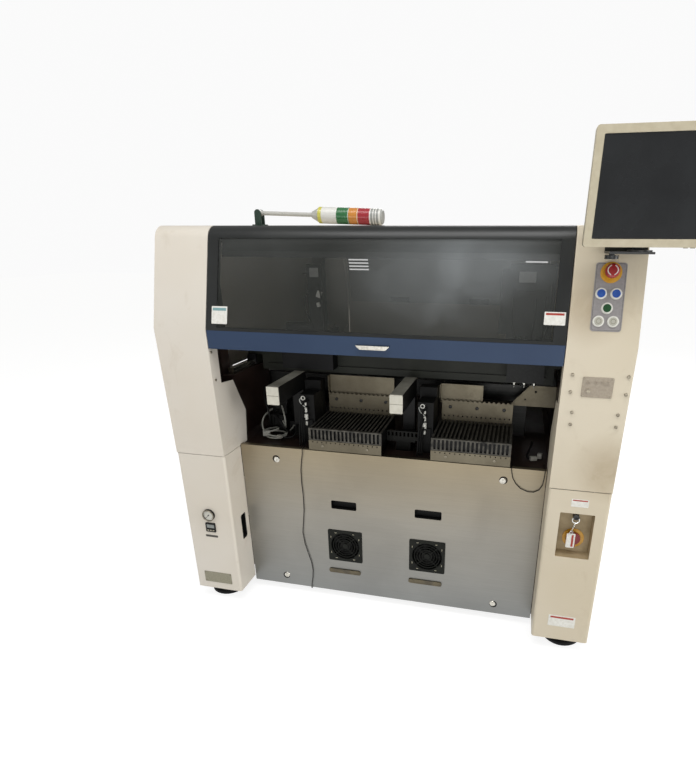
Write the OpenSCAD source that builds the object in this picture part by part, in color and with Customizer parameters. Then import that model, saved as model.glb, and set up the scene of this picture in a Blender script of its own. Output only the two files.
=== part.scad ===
// Electronics placement machine: a sheet-steel cabinet on a welded frame, with two feeder banks,
// a lifting glazed hood, an X-Y gantry with a placement head, a board conveyor, operator controls,
// a monitor on a swivel and a folding signal tower. Millimetres, +Z up, the floor at Z = 0.
// Sizes below are taken from the cabinet's centre plane (X), from the front plane of the lower
// columns (Y) and from the floor (Z); placed() then centres the whole machine on the origin.

/* [Cabinet] */
// Width over both columns
cab_w = 1650; // [1560:10:1800]
// Depth from the front plane of the columns to the same plane at the back
cab_d = 1654; // [1560:10:1800]
// Height of the roof
roof_z = 1537; // [1500:1:1600]
// Height of the covers' lower edge above the floor
cover_gap = 60; // [50:1:90]
// Width of each column
col_w = 208; // [190:1:230]
// Thickness of the painted cover sheet
sheet = 3; // [2:0.5:4]
// Gap between neighbouring covers
gap = 2; // [1:0.5:4]

/* [Front profile] */
// Height of the seam between the lower and upper covers
seam_z = 698; // [680:1:710]
// Height where the face stops rising and leans back
kink_z = 1192; // [1180:1:1210]
// How far the kink stands in front of the lower columns
kink_out = 13; // [5:1:20]
// Lean of the upper face from upright, in degrees
lean = 16; // [10:0.5:20]
// Radius of the crown between the leaning face and the roof
crown_r = 55; // [40:1:70]
// Depth of the front columns' upper covers
upper_depth = 420; // [400:5:460]
// Radius of the lower covers' upright edges
column_r = 10; // [5:1:20]

/* [Front panel] */
// Recess of the steel panel behind the columns
panel_y = 128; // [118:1:140]
// Lower edge of the steel panel
panel_z0 = 38; // [30:1:60]
// Upper edge of the steel panel
panel_z1 = 705; // [702:1:712]
// Thickness of the steel panel
panel_t = 3; // [2:0.5:4]
// Distance of each fan and grip from the centre plane
fan_x = 177; // [150:1:220]
// Height of the fan centres
fan_z = 274; // [240:1:320]
// Side of the square fan guards
fan_size = 150; // [130:1:170]
// Height of the grip slots
grip_z = 469; // [430:1:500]
// Width of a grip slot
grip_w = 109; // [90:1:130]
// Height of a grip slot
grip_h = 38; // [30:1:50]
// Distance of the panel locks from the centre plane
lock_x = 458; // [400:1:500]

/* [Hood] */
// Lower edge of the blue band
band_z = 1126; // [1110:1:1140]
// Thickness of the hood's frame
hood_t = 18; // [14:1:24]
// Width of the frame at each side of the window
hood_side = 40; // [30:1:50]
// Height of the window's upper edge
window_top = 1496; // [1470:1:1498]
// Thickness of the window
glass_t = 5; // [3:0.5:8]
// Lower edge of the rear hood
rear_low_z = 1086; // [1070:1:1100]
// Diameter of the hood's pivot pins
pivot_d = 12; // [8:0.5:16]
// Width of the hood handle
handle_w = 116; // [90:1:140]

/* [Feeder banks] */
// Centre of the left bank
bank_left = -164; // [-200:1:-150]
// Centre of the right bank
bank_right = 330; // [310:1:360]
// Number of feeder slots in a bank
slots = 18; // [10:1:20]
// Pitch of the feeder slots
slot_pitch = 16; // [14:0.5:16]
// Width of a feeder slot
slot_w = 9; // [6:0.5:10]
// Height of the feeder base's upper face
feeder_z = 797; // [780:1:810]
// Depth of a feeder base
feeder_d = 234; // [200:1:260]
// Height of the comb along a base's front edge
comb_h = 50; // [40:1:51]
// Pitch of the notches and pin holes in the back plates
pin_pitch = 19; // [16:1:24]
// Upper edge of the toothed back plate
back_plate_z = 883; // [860:1:900]

/* [Machine inside] */
// Height of the bed's upper face
bed_z = 696; // [680:1:696]
// Height of the boards' path
board_z = 900; // [880:1:920]
// Front of the conveyor tunnel
tunnel_y0 = 490; // [470:1:520]
// Back of the conveyor tunnel
tunnel_y1 = 880; // [860:1:900]
// Front face of the gantry beam at rest
gantry_y = 400; // [398:1:440]
// Underside of the gantry beam
gantry_z = 960; // [958:1:972]
// Centre of the head at rest
head_x = 508; // [480:1:510]
// Top of the head's cover
head_top = 1413; // [1380:1:1420]

/* [Controls] */
// Distance of the operator plate's centre inside the right column's outer face
operator_inset = 100; // [90:1:110]
// Width of the operator plate
operator_w = 90; // [85:1:110]
// Height of the operator plate along the leaning face
operator_h = 203; // [195:1:215]
// Middle of the operator plate above the kink, along the leaning face
operator_s = 148; // [140:1:155]
// Diameter of a push-button's bezel
bezel_d = 34; // [30:0.5:38]
// Diameter of the emergency stop's head
stop_d = 42; // [36:1:44]
// Width of the main switch recess
switch_w = 117; // [100:1:130]
// Height of the main switch recess
switch_h = 180; // [160:1:190]
// Depth of the main switch recess
switch_deep = 52; // [45:1:55]
// Diameter of the pressure gauge
gauge_d = 52; // [40:1:60]

/* [Monitor] */
// Distance of the monitor's left edge inside the right column's outer face
mon_inset = 201; // [185:1:203]
// Width of the monitor housing
mon_w = 380; // [340:1:420]
// Height of the monitor housing
mon_h = 296; // [280:1:320]
// Depth of the monitor housing
mon_d = 58; // [48:1:62]
// Height of the monitor's lower edge
mon_z = 1476; // [1472:1:1490]
// Width of the frame round the screen
mon_frame = 21; // [15:1:30]

/* [Signal tower] */
// Place of the tower's pivot across the machine
tower_x = -478; // [-520:1:-440]
// Depth at which the tower lies on the roof
tower_y = 205; // [190:1:260]
// Diameter of the lamp stack
tower_d = 54; // [40:1:60]
// Diameter of the tower's pole
pole_d = 14; // [12:0.5:20]
// Height of the tower's pivot above the roof
tower_h = 43; // [40:1:60]

/* [Leads] */
// Diameter of the leads that hang over the front panel
lead_d = 3.2; // [2.4:0.2:3.6]
// Diameter of the air hoses
hose_d = 6; // [4:0.5:6]

/* [Hidden] */
$fn = 48;

// Running clearance of a pin in its bore, on the radius
fit = 0.05;
// Clear space between two bodies that slide or turn past each other
run = 0.3;
// Overshoot of a cutting shape past the face that it opens
over = 1;

half_w = cab_w / 2;
operator_x = half_w - operator_inset;
mon_x = half_w - mon_inset;
inner_x = half_w - col_w;
rear_y = cab_d + kink_out;
mon_y0 = -mon_d - 2;
centre_x = (mon_x + mon_w - half_w) / 2;
centre_y = (mon_y0 + rear_y) / 2;
panel_back = panel_y + panel_t;

// Angle of the face between the seam and the kink
rise = atan(kink_out / (kink_z - seam_z));
// Where the leaning face would meet the roof, and the crown's centre
corner_y = -kink_out + (roof_z - kink_z) * tan(lean);
crown_y = corner_y + crown_r * (1 - sin(lean)) / cos(lean);
crown_z = roof_z - crown_r;

// Pivot of both hoods, just under the crown, and the hood's back edge
pivot_y = 110;
pivot_z = roof_z - 32;
hood_back = 150;
hood_half = inner_x - gap;
roof_front = hood_back + 2 * gap;

foot_x = half_w - 87;
foot_y = 108;
post = 100;
frame_z0 = 110;
low_rail_z = frame_z0 + 5;
rail_h = 80;
bed_t = 60;
upright_x0 = half_w - 125;
upright_x1 = upright_x0 + 60;
bed_x = upright_x0 - 15;
wall_in = bed_x - 45;
upright_y0 = 200;
upright_y1 = 260;
header_h = 54;
guide_z = 980;
guide_h = 25;

bank_w = slots * slot_pitch + 12;
bank_y0 = panel_y + 6;
bank_y1 = bank_y0 + feeder_d;
base_h = 52;
base_z0 = feeder_z - base_h;
groove_d = 12;
bracket_t = 3;

switch_x = operator_x - 1.5;
switch_z = 520;
handle_x = operator_x + 1;
handle_z = 486;
gauge_x = col_w / 2 - half_w;
gauge_z = 429;

hinge_x = half_w - 40;
hinge_y = -5;
tilt_y = 17;
tilt_z = mon_z + mon_h / 2;
bracket_z = mon_z - 18;

stack_len = 461;
droop = asin((tower_h - tower_d / 2 - 0.5) / stack_len);

lock_heights = [86, 650];
lock_r = 9;
side_grip_y = 85;
side_grip_z = 342;
side_grip_w = 40;
side_grip_h = 118;
fan_r = 64;
rear_inset = 20;
comb_t = 12;
beam_w = 48;
beam_y0 = 66;
beam_z0 = 907;
beam_z1 = 977;
box_w = 62;
box_y0 = bank_y0 + 96;
box_y1 = box_y0 + 80;
beam_y1 = box_y1 + 20;
beam_xs = [box_x(bank_left) - 10 - beam_w, box_x(bank_right) - 25 - beam_w];
fitting_heights = [815, 848, 881];
fitting_dx = 30;
head_z = 985;
head_rail_heights = [15, 110];
drive_x = [-497, -272];
louvres = 9;
louvre_x = 540;
louvre_w = 128;
rear_grips = [-283, 218];
rear_grip_z = 1130;
rear_grip_w = 114;
rear_grip_h = 46;
plate_t = 2;
stop_at = [0, 72];
stop_stem = 9;
collar_r = 31;
cap_r = bezel_d / 2 - 5;
button_places = [[-23, 10], [20, 10], [-2, -33], [-23, -72], [19, -72]];
service_z = 1065;
key_at = [-26, -12];
mon_mid = mon_x + mon_w / 2;

cream = [0.84, 0.80, 0.72];
blue = [0.20, 0.28, 0.42];
black = [0.07, 0.07, 0.08];
steel = [0.66, 0.66, 0.64];
dark = [0.20, 0.21, 0.22];
grey = [0.60, 0.59, 0.60];
alloy = [0.74, 0.75, 0.74];
white = [0.93, 0.93, 0.91];
yellow = [0.93, 0.70, 0.10];
red = [0.76, 0.09, 0.09];

// Left side of the connector box that stands beside a bank
function box_x(bank) = bank - bank_w / 2 - box_w - 8;

// ---- shared construction -------------------------------------------------------------------

module placed() {
    translate([-centre_x, -centre_y, 0]) children();
}

// A box between two heights, two depths and two places across
module block(x, y, z) {
    translate([x[0], y[0], z[0]]) cube([x[1] - x[0], y[1] - y[0], z[1] - z[0]]);
}

// A (depth, height) outline carried across the machine
module along_x(x0, x1) {
    translate([x0, 0, 0]) rotate([90, 0, 90]) linear_extrude(x1 - x0) children();
}

// An (across, height) outline carried through the machine
module along_y(y0, y1) {
    translate([0, y1, 0]) rotate([90, 0, 0]) linear_extrude(y1 - y0) children();
}

// Both sides of the machine
module both_sides() {
    children();
    mirror([1, 0, 0]) children();
}

// Front and back of the machine
module both_ends() {
    children();
    at_back() children();
}

module at_back() {
    translate([0, cab_d, 0]) mirror([0, 1, 0]) children();
}

// A rectangle centred on the origin with true round corners
module rounded(w, h, r) {
    square([w - 2 * r, h], center = true);
    square([w, h - 2 * r], center = true);
    for (x = [-1, 1], y = [-1, 1])
        translate([x * (w / 2 - r), y * (h / 2 - r)]) circle(r);
}

// Frames on the faces that carry controls: X across, Y up the face, Z out of it
module on_lean(x, s) {
    translate([x, -kink_out, kink_z]) rotate([90 - lean, 0, 0]) translate([0, s, 0]) children();
}

module on_front(x, z) {
    translate([x, 0, seam_z]) rotate([90 + rise, 0, 0])
        translate([0, (z - seam_z) / cos(rise), 0]) children();
}

module on_lower(x, z, y = 0) {
    translate([x, y, z]) rotate([90, 0, 0]) children();
}

// Side outline of the cabinet from height z0 up to the roof and back to depth y1, drawn inside
// the outer face by the distance inset
module outline(inset, y1, z0) {
    r = crown_r - inset;
    kink_dy = inset * (sin(lean) + sin(rise)) / sin(lean + rise);
    kink_dz = -inset * (cos(rise) - cos(lean)) / sin(lean + rise);
    foot = inset / cos(rise) - (z0 - seam_z) * tan(rise);
    polygon([
        [foot, z0],
        [-kink_out + kink_dy, kink_z + kink_dz],
        [crown_y - r * cos(lean), crown_z + r * sin(lean)],
        [crown_y, crown_z],
        [crown_y, crown_z + r],
        [y1, crown_z + r],
        [y1, z0]
    ]);
    translate([crown_y, crown_z]) circle(r);
}

// The sheet between two insets of that outline
module skin(i0, i1, y1, z0) {
    difference() {
        outline(i0, y1, z0);
        outline(i1, y1 + over, z0 - over);
    }
}

// ---- welded frame, bed and feet ------------------------------------------------------------

// Square posts, rails and tabs that carry the covers, with the hood pivots on the uprights
module base_frame() placed() color(dark) {
    top = bed_z - bed_t;
    both_sides() both_ends() {
        block([foot_x - post / 2, foot_x + post / 2], [foot_y - post / 2, foot_y + post / 2],
            [frame_z0, top]);
        block([upright_x0, upright_x1], [foot_y + post / 2 - over, upright_y1], [top - rail_h, top]);
        block([upright_x0, upright_x1], [upright_y0, upright_y1], [top - rail_h, roof_z - sheet]);
        for (z = [250, 620])
            block([inner_x + sheet, half_w - sheet], [column_r, foot_y], [z, z + 6]);
        block([upright_x0, half_w - sheet], [upright_y0, upright_y1], [kink_z + 108, kink_z + 114]);
        hood_pivot();
    }
    both_sides() for (z = [low_rail_z, top - rail_h])
        block([foot_x - post / 2 + over, foot_x + post / 2 - over], [foot_y, cab_d - foot_y],
            [z, z + rail_h]);
    for (z = [low_rail_z, top - rail_h])
        block([-foot_x, foot_x], [panel_back, panel_back + 60], [z, z + rail_h]);
    for (z = [low_rail_z, top - rail_h])
        block([-foot_x, foot_x], [cab_d - rear_inset - 70, cab_d - rear_inset - sheet],
            [z, z + rail_h]);
    both_ends()
        block([-upright_x1, upright_x1], [upright_y0, upright_y1],
            [roof_z - sheet - header_h, roof_z - sheet]);
}

// Arm from an upright to the pivot pin, which passes through the cover's cheek
module hood_pivot() {
    x1 = upright_x0 + 10;
    block([upright_x0, x1], [pivot_y, upright_y0 + over], [pivot_z - 15, pivot_z + 15]);
    translate([upright_x0, pivot_y, pivot_z]) rotate([0, 90, 0]) cylinder(r = 15, h = 10);
    translate([hood_half - 20, pivot_y, pivot_z]) rotate([0, 90, 0])
        cylinder(d = pivot_d, h = x1 - hood_half + 20);
}

// Cast bed with two side walls, cut through for the boards
module machine_bed() placed() color(dark) difference() {
    along_y(165, cab_d - 165) polygon([
        [-bed_x, bed_z - bed_t], [bed_x, bed_z - bed_t], [bed_x, guide_z], [wall_in, guide_z],
        [wall_in, bed_z + 20], [wall_in - 20, bed_z], [20 - wall_in, bed_z],
        [-wall_in, bed_z + 20], [-wall_in, guide_z], [-bed_x, guide_z]
    ]);
    block([-bed_x - over, bed_x + over], [tunnel_y0, tunnel_y1], [board_z - 60, board_z + 45]);
}

// Round levelling pads on threaded stems
module levelling_feet() placed() color(black) both_sides() both_ends()
    translate([foot_x, foot_y, 0]) rotate_extrude() polygon([
        [0, 0], [70, 0], [75, 5], [75, 16], [70, 20], [30, 24], [30, 34], [18, 40], [18, 60],
        [12, 60], [12, frame_z0], [0, frame_z0]
    ]);

// ---- cabinet covers ------------------------------------------------------------------------

// Plan of a lower column: front sheet, short inner return, long outer return
module column_plan() {
    mid = (inner_x + half_w) / 2;
    difference() {
        translate([mid, upper_depth]) rounded(col_w, 2 * upper_depth, column_r);
        translate([mid, upper_depth])
            rounded(col_w - 2 * sheet, 2 * (upper_depth - sheet), column_r - sheet);
        translate([inner_x - over, panel_y]) square([col_w / 2, 2 * upper_depth]);
        translate([inner_x - over, upper_depth]) square([col_w + 2 * over, 2 * upper_depth]);
    }
}

module lower_cover() {
    translate([0, 0, cover_gap]) linear_extrude(seam_z - gap / 2 - cover_gap) column_plan();
}

module left_lower_cover() placed() color(cream) difference() {
    mirror([1, 0, 0]) lower_cover();
    side_grip();
}

// Grip slot in the left column's inner return
module side_grip() {
    along_x(-inner_x - sheet - over, -inner_x + over)
        translate([side_grip_y, side_grip_z]) rounded(side_grip_w, side_grip_h, 8);
}

module right_lower_cover() placed() color(cream) difference() {
    lower_cover();
    on_lower(switch_x, switch_z) translate([0, 0, -sheet - over])
        linear_extrude(sheet + 2 * over) rounded(switch_w, switch_h, 4);
}

// Inner cheek of an upper cover: a slim strip that widens below the hood
module cheek() {
    strip = 47;
    polygon([
        [-2 * kink_out, seam_z], [187, seam_z], [203, seam_z + 134], [131, band_z - 150],
        [strip, band_z - 141],
        [strip, kink_z], [strip + (roof_z - kink_z) * tan(lean), roof_z], [-2 * kink_out, roof_z]
    ]);
}

// Upper cover: front sheet with crown and roof strip, outer and inner cheeks
module upper_cover() difference() {
    z0 = seam_z + gap / 2;
    union() {
        along_x(inner_x, half_w) skin(0, sheet, upper_depth, z0);
        along_x(half_w - sheet, half_w) outline(0, upper_depth, z0);
        along_x(inner_x, inner_x + sheet) intersection() {
            outline(0, upper_depth, z0);
            cheek();
        }
    }
    translate([inner_x - over, pivot_y, pivot_z]) rotate([0, 90, 0])
        cylinder(d = pivot_d + 4, h = sheet + 2 * over);
}

module left_upper_cover() placed() color(cream) mirror([1, 0, 0]) upper_cover();

module right_upper_cover() placed() color(cream) upper_cover();

// Side cover with the rear column: outer sheet, rear face, inner return, conveyor tunnel
module side_cover() difference() {
    depth = cab_d - upper_depth - gap;
    at_back() {
        along_x(inner_x, half_w) skin(0, sheet, depth, seam_z);
        along_x(half_w - sheet, half_w) {
            outline(0, depth, seam_z);
            translate([0, cover_gap]) square([depth, seam_z - cover_gap]);
        }
        block([inner_x, half_w], [0, sheet], [cover_gap, seam_z]);
        along_x(inner_x, inner_x + sheet) {
            intersection() {
                outline(0, depth, seam_z);
                cheek();
            }
            translate([0, cover_gap]) square([rear_inset, seam_z - cover_gap]);
        }
    }
    block([half_w - sheet - over, half_w + over], [tunnel_y0, tunnel_y1],
        [board_z - 60, board_z + 45]);
    translate([inner_x - over, cab_d - pivot_y, pivot_z]) rotate([0, 90, 0])
        cylinder(d = pivot_d + 4, h = sheet + 2 * over);
}

module left_side_cover() placed() color(cream) mirror([1, 0, 0]) side_cover();

module right_side_cover() placed() color(cream) side_cover();

module roof_panel() placed() color(cream)
    block([-hood_half, hood_half], [roof_front, cab_d - roof_front], [roof_z - sheet, roof_z]);

// ---- front and rear panels -----------------------------------------------------------------

// Brushed steel panel with folded edges, two grip slots, two fan windows and four lock holes
module front_panel() placed() color(steel) {
    mid_z = (panel_z0 + panel_z1) / 2;
    along_y(panel_y, panel_back) difference() {
        translate([0, mid_z]) square([2 * hood_half, panel_z1 - panel_z0], center = true);
        for (side = [-1, 1]) {
            translate([side * fan_x, grip_z]) rounded(grip_w, grip_h, 6);
            translate([side * fan_x, fan_z]) rounded(fan_size - 12, fan_size - 12, 4);
            for (z = lock_heights) translate([side * lock_x, z]) circle(lock_r);
        }
    }
    block([-hood_half, hood_half], [panel_y, panel_y + 22], [panel_z1 - panel_t, panel_z1]);
    block([-hood_half, hood_half], [panel_y, panel_y + 22], [panel_z0, panel_z0 + panel_t]);
}

// Slotted quarter-turn locks through the panel's corners
module panel_locks() placed() color(alloy) for (side = [-1, 1], z = lock_heights)
    on_lower(side * lock_x, z, panel_y) difference() {
        union() {
            cylinder(r1 = lock_r + 4, r2 = lock_r + 2.5, h = 2.5);
            translate([0, 0, -10]) cylinder(r = lock_r, h = 11);
        }
        translate([-1, -lock_r, 1]) cube([2, 2 * lock_r, 3]);
    }

// Moulded cups behind the grip slots
module grip_cups() placed() color(black) {
    for (side = [-1, 1]) on_lower(side * fan_x, grip_z, panel_back) difference() {
        translate([0, 0, -26]) linear_extrude(26) rounded(grip_w + 10, grip_h + 10, 8);
        translate([0, 0, -23]) linear_extrude(23 + over) rounded(grip_w, grip_h, 6);
    }
    along_x(-inner_x - sheet - 18, -inner_x - sheet)
        translate([side_grip_y, side_grip_z]) difference() {
            rounded(side_grip_w + 8, side_grip_h + 8, 9);
            rounded(side_grip_w, side_grip_h, 8);
        }
    along_x(-inner_x - sheet - 20, -inner_x - sheet - 18)
        translate([side_grip_y, side_grip_z]) rounded(side_grip_w + 8, side_grip_h + 8, 9);
}

// Square fan housing behind the panel, with its ring guard in front and the motor stub
module fan_housings() placed() color(black) for (side = [-1, 1])
    on_lower(side * fan_x, fan_z, panel_y) {
        deep = 38;
        difference() {
            linear_extrude(2.5) rounded(fan_size, fan_size, 6);
            translate([0, 0, -over]) cylinder(r = fan_r, h = 5);
        }
        difference() {
            translate([0, 0, -deep]) linear_extrude(deep + over) rounded(fan_size - 13, fan_size - 13, 4);
            translate([0, 0, -deep - over]) cylinder(r = fan_r, h = deep + 3);
        }
        for (k = [0 : 5]) difference() {
            translate([0, 0, 0.5]) cylinder(r = fan_r + 1 - 11 * k, h = 1.6);
            cylinder(r = fan_r - 1.6 - 11 * k, h = 3);
        }
        for (a = [45 : 90 : 315]) rotate(a) {
            translate([6, -1.2, 0.5]) cube([fan_r - 5, 2.4, 1.6]);
            translate([0, -4, -deep]) cube([fan_r + 1, 8, 4]);
        }
        translate([0, 0, 0.5]) cylinder(r = 12, h = 1.6);
        translate([0, 0, -deep]) cylinder(r = 22, h = 5);
        translate([0, 0, -deep]) cylinder(r = 8, h = 24);
    }

// Rotor cup with pitched blades, turning on the motor stub
module fan_rotor(side) on_lower(side * fan_x, fan_z, panel_y) {
    back = -32.7;
    difference() {
        union() {
            translate([0, 0, back]) cylinder(r = 22, h = 24);
            for (k = [0 : 6]) rotate(k * 360 / 7) translate([21, 0, -21]) rotate([38, 0, 0])
                translate([0, -12, -1]) cube([fan_r - 26, 24, 2]);
        }
        translate([0, 0, back - over]) cylinder(r = 8 + fit, h = 20);
    }
}

module fan_rotor_left() placed() color(black) fan_rotor(-1);

module fan_rotor_right() placed() color(black) fan_rotor(1);

module rear_panel() placed() color(cream)
    block([-hood_half, hood_half], [cab_d - rear_inset - sheet, cab_d - rear_inset],
        [cover_gap, rear_low_z + 40]);

// ---- feeder banks --------------------------------------------------------------------------

// A base plate with guide bars at the slot pitch and a comb of windows along its front edge
module feeder_base(x) translate([x, 0, 0]) {
    z0 = base_z0;
    span = slots * slot_pitch;
    difference() {
        block([-bank_w / 2, bank_w / 2], [bank_y0, bank_y1], [z0, feeder_z]);
        for (k = [0 : slots - 1]) {
            xs = -span / 2 + (k + 0.5) * slot_pitch;
            block([xs - slot_w / 2, xs + slot_w / 2], [bank_y0 + comb_t, bank_y1 + over],
                [feeder_z - groove_d, feeder_z + over]);
            block([xs - slot_w / 2, xs + slot_w / 2], [bank_y0 - over, bank_y0 + comb_t - 2],
                [feeder_z - comb_h + 5, feeder_z - 5]);
        }
        block([-bank_w / 2 + 30, bank_w / 2 - 30], [bank_y0 + 60, bank_y1 - 40], [z0 - over, z0 + 20]);
    }
    for (s = [-1, 1])
        block([s * (bank_w / 2 - 30) - 14, s * (bank_w / 2 - 30) + 14], [190, bank_y1 - 20],
            [bed_z, z0 + over]);
}

module feeder_bases() placed() color(dark) {
    feeder_base(bank_left);
    feeder_base(bank_right);
}

// Back plate with round notches along its edge, three bolt holes and a row of pin holes
module back_plate(x) along_y(bank_y1, bank_y1 + 3) difference() {
    span = slots * slot_pitch;
    translate([x - span / 2, feeder_z - 20]) square([span, back_plate_z - feeder_z + 20]);
    pins = floor(span / pin_pitch);
    for (k = [0 : pins - 1]) translate([x + (k + 0.5 - pins / 2) * pin_pitch, 0]) {
        translate([0, back_plate_z]) circle(6);
        translate([0, feeder_z + 17]) circle(3.4);
    }
    for (k = [-1, 0, 1]) translate([x + k * span * 0.38, back_plate_z - 30]) circle(7);
}

// Folded steel angle along the front of a bank, with a row of round holes along its upper edge
module front_angle(x) {
    top = feeder_z - comb_h;
    pins = floor(bank_w / pin_pitch);
    along_y(bank_y0 - bracket_t, bank_y0) difference() {
        translate([x - bank_w / 2, panel_z1 + gap]) square([bank_w, top - panel_z1 - gap]);
        for (k = [0 : pins - 1]) translate([x + (k + 0.5 - pins / 2) * pin_pitch, top - 6]) circle(2.5);
    }
    block([x - bank_w / 2, x + bank_w / 2], [bank_y0 - bracket_t, bank_y0 + 14],
        [panel_z1 + gap, panel_z1 + gap + bracket_t]);
}

// Sheet-steel pieces round the banks, with the short comb that bridges them
module feeder_plates() placed() color(steel) {
    for (x = [bank_left, bank_right]) {
        back_plate(x);
        front_angle(x);
    }
    tall_plate(bank_left - bank_w / 2 + 10, bank_left + bank_w / 2 - 8, gantry_z - 5);
    tall_plate(bank_right - bank_w / 2 - 2, bank_right + 20, gantry_z - 15);
    bridge_comb();
    along_y(450, 453) difference() {
        polygon([[457, 852], [535, 940], [wall_in, 940], [wall_in, 852]]);
        translate([560, 915]) circle(5);
        translate([520, 880]) circle(3.5);
    }
}

// Tall plate that stands off a back plate on its lower flange, with its left edge folded forward
module tall_plate(x0, x1, top) {
    y = bank_y1 + 16;
    block([x0, x1], [y, y + 3], [back_plate_z - 14, top]);
    block([x0, x1], [bank_y1 + 3, y + 1], [back_plate_z - 14, back_plate_z - 11]);
    block([x0 - 3, x0], [bank_y1 - 6, y + 3], [back_plate_z + 4, top]);
}

// Short comb on a foot between the left bank and the right connector box
module bridge_comb() {
    x0 = bank_left + bank_w / 2 + 2;
    count = floor((box_x(bank_right) + 6 - x0) / slot_pitch);
    x1 = x0 + count * slot_pitch;
    mid = (x0 + x1) / 2;
    difference() {
        block([x0, x1], [212, 224], [750, 786]);
        for (k = [0 : count - 1])
            block([x0 + (k + 0.5) * slot_pitch - 4, x0 + (k + 0.5) * slot_pitch + 4],
                [212 - over, 224 + over], [764, 781]);
    }
    block([x0, x1 - 12], [212, 280], [742, 750]);
    block([mid - 30, mid + 30], [230, 280], [bed_z, 742]);
}

// Inverted channels on a rear leg that carry air and power to the banks
module supply_beams() placed() color(steel) for (x = beam_xs) {
    difference() {
        block([x, x + beam_w], [beam_y0, beam_y1], [beam_z0, beam_z1]);
        block([x + 3, x + beam_w - 3], [beam_y0 - over, beam_y1 - 3], [beam_z0 - over, beam_z1 - 3]);
    }
    block([x, x + beam_w], [beam_y1 - 36, beam_y1], [bed_z, beam_z0 + over]);
}

// Moulded caps that close the channels' front ends
module beam_end_caps() placed() color(cream) for (x = beam_xs) {
    along_y(beam_y0 - 6, beam_y0) translate([x + beam_w / 2, (beam_z0 + beam_z1) / 2])
        rounded(beam_w, beam_z1 - beam_z0, 3);
    block([x + 3 + run, x + beam_w - 3 - run], [beam_y0, beam_y0 + 12], [beam_z0 + 2, beam_z1 - 3]);
}

// Connector box beside each bank with three push-in fittings on its face, and the cable duct
// that stands behind it
module connector_boxes() placed() color(black) for (x = [bank_left, bank_right]) {
    x0 = box_x(x);
    block([x0, x0 + box_w], [box_y0, box_y1], [bed_z, beam_z0 - gap]);
    block([x0 + 8, x0 + box_w - 8], [box_y0 - 8, box_y0], [740, 800]);
    block([x0 - 8, x0 + box_w], [box_y1 + gap, bank_y1 - 6], [bed_z, gantry_z - 15]);
    for (z = fitting_heights) on_lower(x0 + fitting_dx, z, box_y0) {
        cylinder(r = 9, h = 6);
        translate([0, 0, 6]) cylinder(r = 6.5, h = 12);
    }
}

// ---- board conveyor, gantry and head -------------------------------------------------------

// Rail profile with a belt ledge, on two legs
module conveyor_rail(y, lift, ledge) {
    z0 = board_z - 50;
    half = half_w - 12;
    block([-half, half], [y, y + 20], [z0, board_z + 20]);
    block([-half, half], [y + (ledge > 0 ? 20 : -8), y + (ledge > 0 ? 28 : 0)], [board_z - 12, board_z]);
    for (x = [-500, 500]) block([x - 30, x + 30], [y - 8, y + 28], [bed_z + lift, z0]);
}

module conveyor_fixed_rail() placed() color(alloy) conveyor_rail(tunnel_y0 + 30, 0, 1);

module conveyor_moving_rail() placed() color(alloy) conveyor_rail(tunnel_y1 - 80, run, -1);

module y_guides() placed() color(steel) both_sides() along_y(200, cab_d - 200)
    translate([(bed_x + wall_in) / 2, guide_z]) polygon([
        [-12, 0], [12, 0], [12, 8], [9, 12], [12, 16], [12, guide_h], [-12, guide_h],
        [-12, 16], [-9, 12], [-12, 8]
    ]);

// Box girder on two carriages, with two rails, bolt holes and the head's drive on its front face
module gantry_beam() placed() color(grey) {
    z1 = gantry_z + 140;
    difference() {
        block([20 - wall_in, wall_in - 20], [gantry_y, gantry_y + 100], [gantry_z, z1]);
        for (k = [-3 : 3]) translate([k * 140 + 60, gantry_y - over, gantry_z + 22]) rotate([-90, 0, 0])
            cylinder(r = 6, h = 20);
        for (k = [-3 : 3]) block([k * 160 - 60, k * 160 + 60], [gantry_y + 15, gantry_y + 85],
            [z1 - 30, z1 + over]);
    }
    for (z = head_rail_heights)
        block([-590, 590], [gantry_y - 8, gantry_y], [gantry_z + z, gantry_z + z + 15]);
    block(drive_x, [gantry_y - 62, gantry_y + over], [head_z, z1 + 20]);
    block([drive_x[0] + 20, drive_x[1] - 70], [gantry_y - 50, gantry_y - 10], [z1 + 19, z1 + 70]);
    both_sides() {
        block([wall_in - 21, bed_x], [gantry_y, gantry_y + 100], [guide_z + guide_h + 20, z1]);
        difference() {
            block([wall_in + 2, bed_x - 2], [gantry_y - 20, gantry_y + 120],
                [guide_z + 4, guide_z + guide_h + 21]);
            block([wall_in + 10, bed_x - 10], [gantry_y - 21, gantry_y + 121],
                [guide_z, guide_z + guide_h + run]);
        }
    }
}

// Head casting with vertical bores for the spindles, and the tall cover of its motors on top
module head_unit() placed() color(dark) difference() {
    union() {
        z1 = head_z + 150;
        block([head_x - 70, head_x + 70], [gantry_y - 92, gantry_y - 8 - run], [head_z, z1 + 2]);
        block([head_x - 84, head_x + 79], [gantry_y - 92, gantry_y + 20], [z1 + 1, head_top]);
        block([head_x - 114, head_x - 83], [gantry_y - 70, gantry_y + 10], [z1 + 30, head_top - 20]);
        block([head_x - 50, head_x + 45], [gantry_y - 106, gantry_y - 91], [z1 + 30, head_top - 90]);
        for (k = [-1, 0, 1]) translate([head_x + k * 38, gantry_y - 94, z1 - 60])
            cylinder(r = 12, h = 230);
    }
    for (k = [-1, 0, 1]) translate([head_x + k * 38, gantry_y - 55, head_z - over])
        cylinder(r = 8 + fit, h = 140);
}

// Sliding spindle with its nozzle
module spindle(k) placed() color(alloy) translate([head_x + k * 38, gantry_y - 55, head_z - 28])
    rotate_extrude() polygon([
        [0, 0], [1.5, 0], [2.5, 8], [6, 12], [6, 20], [11, 20], [11, 24], [8, 26], [8, 150], [0, 150]
    ]);

module spindle_1() spindle(-1);

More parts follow.
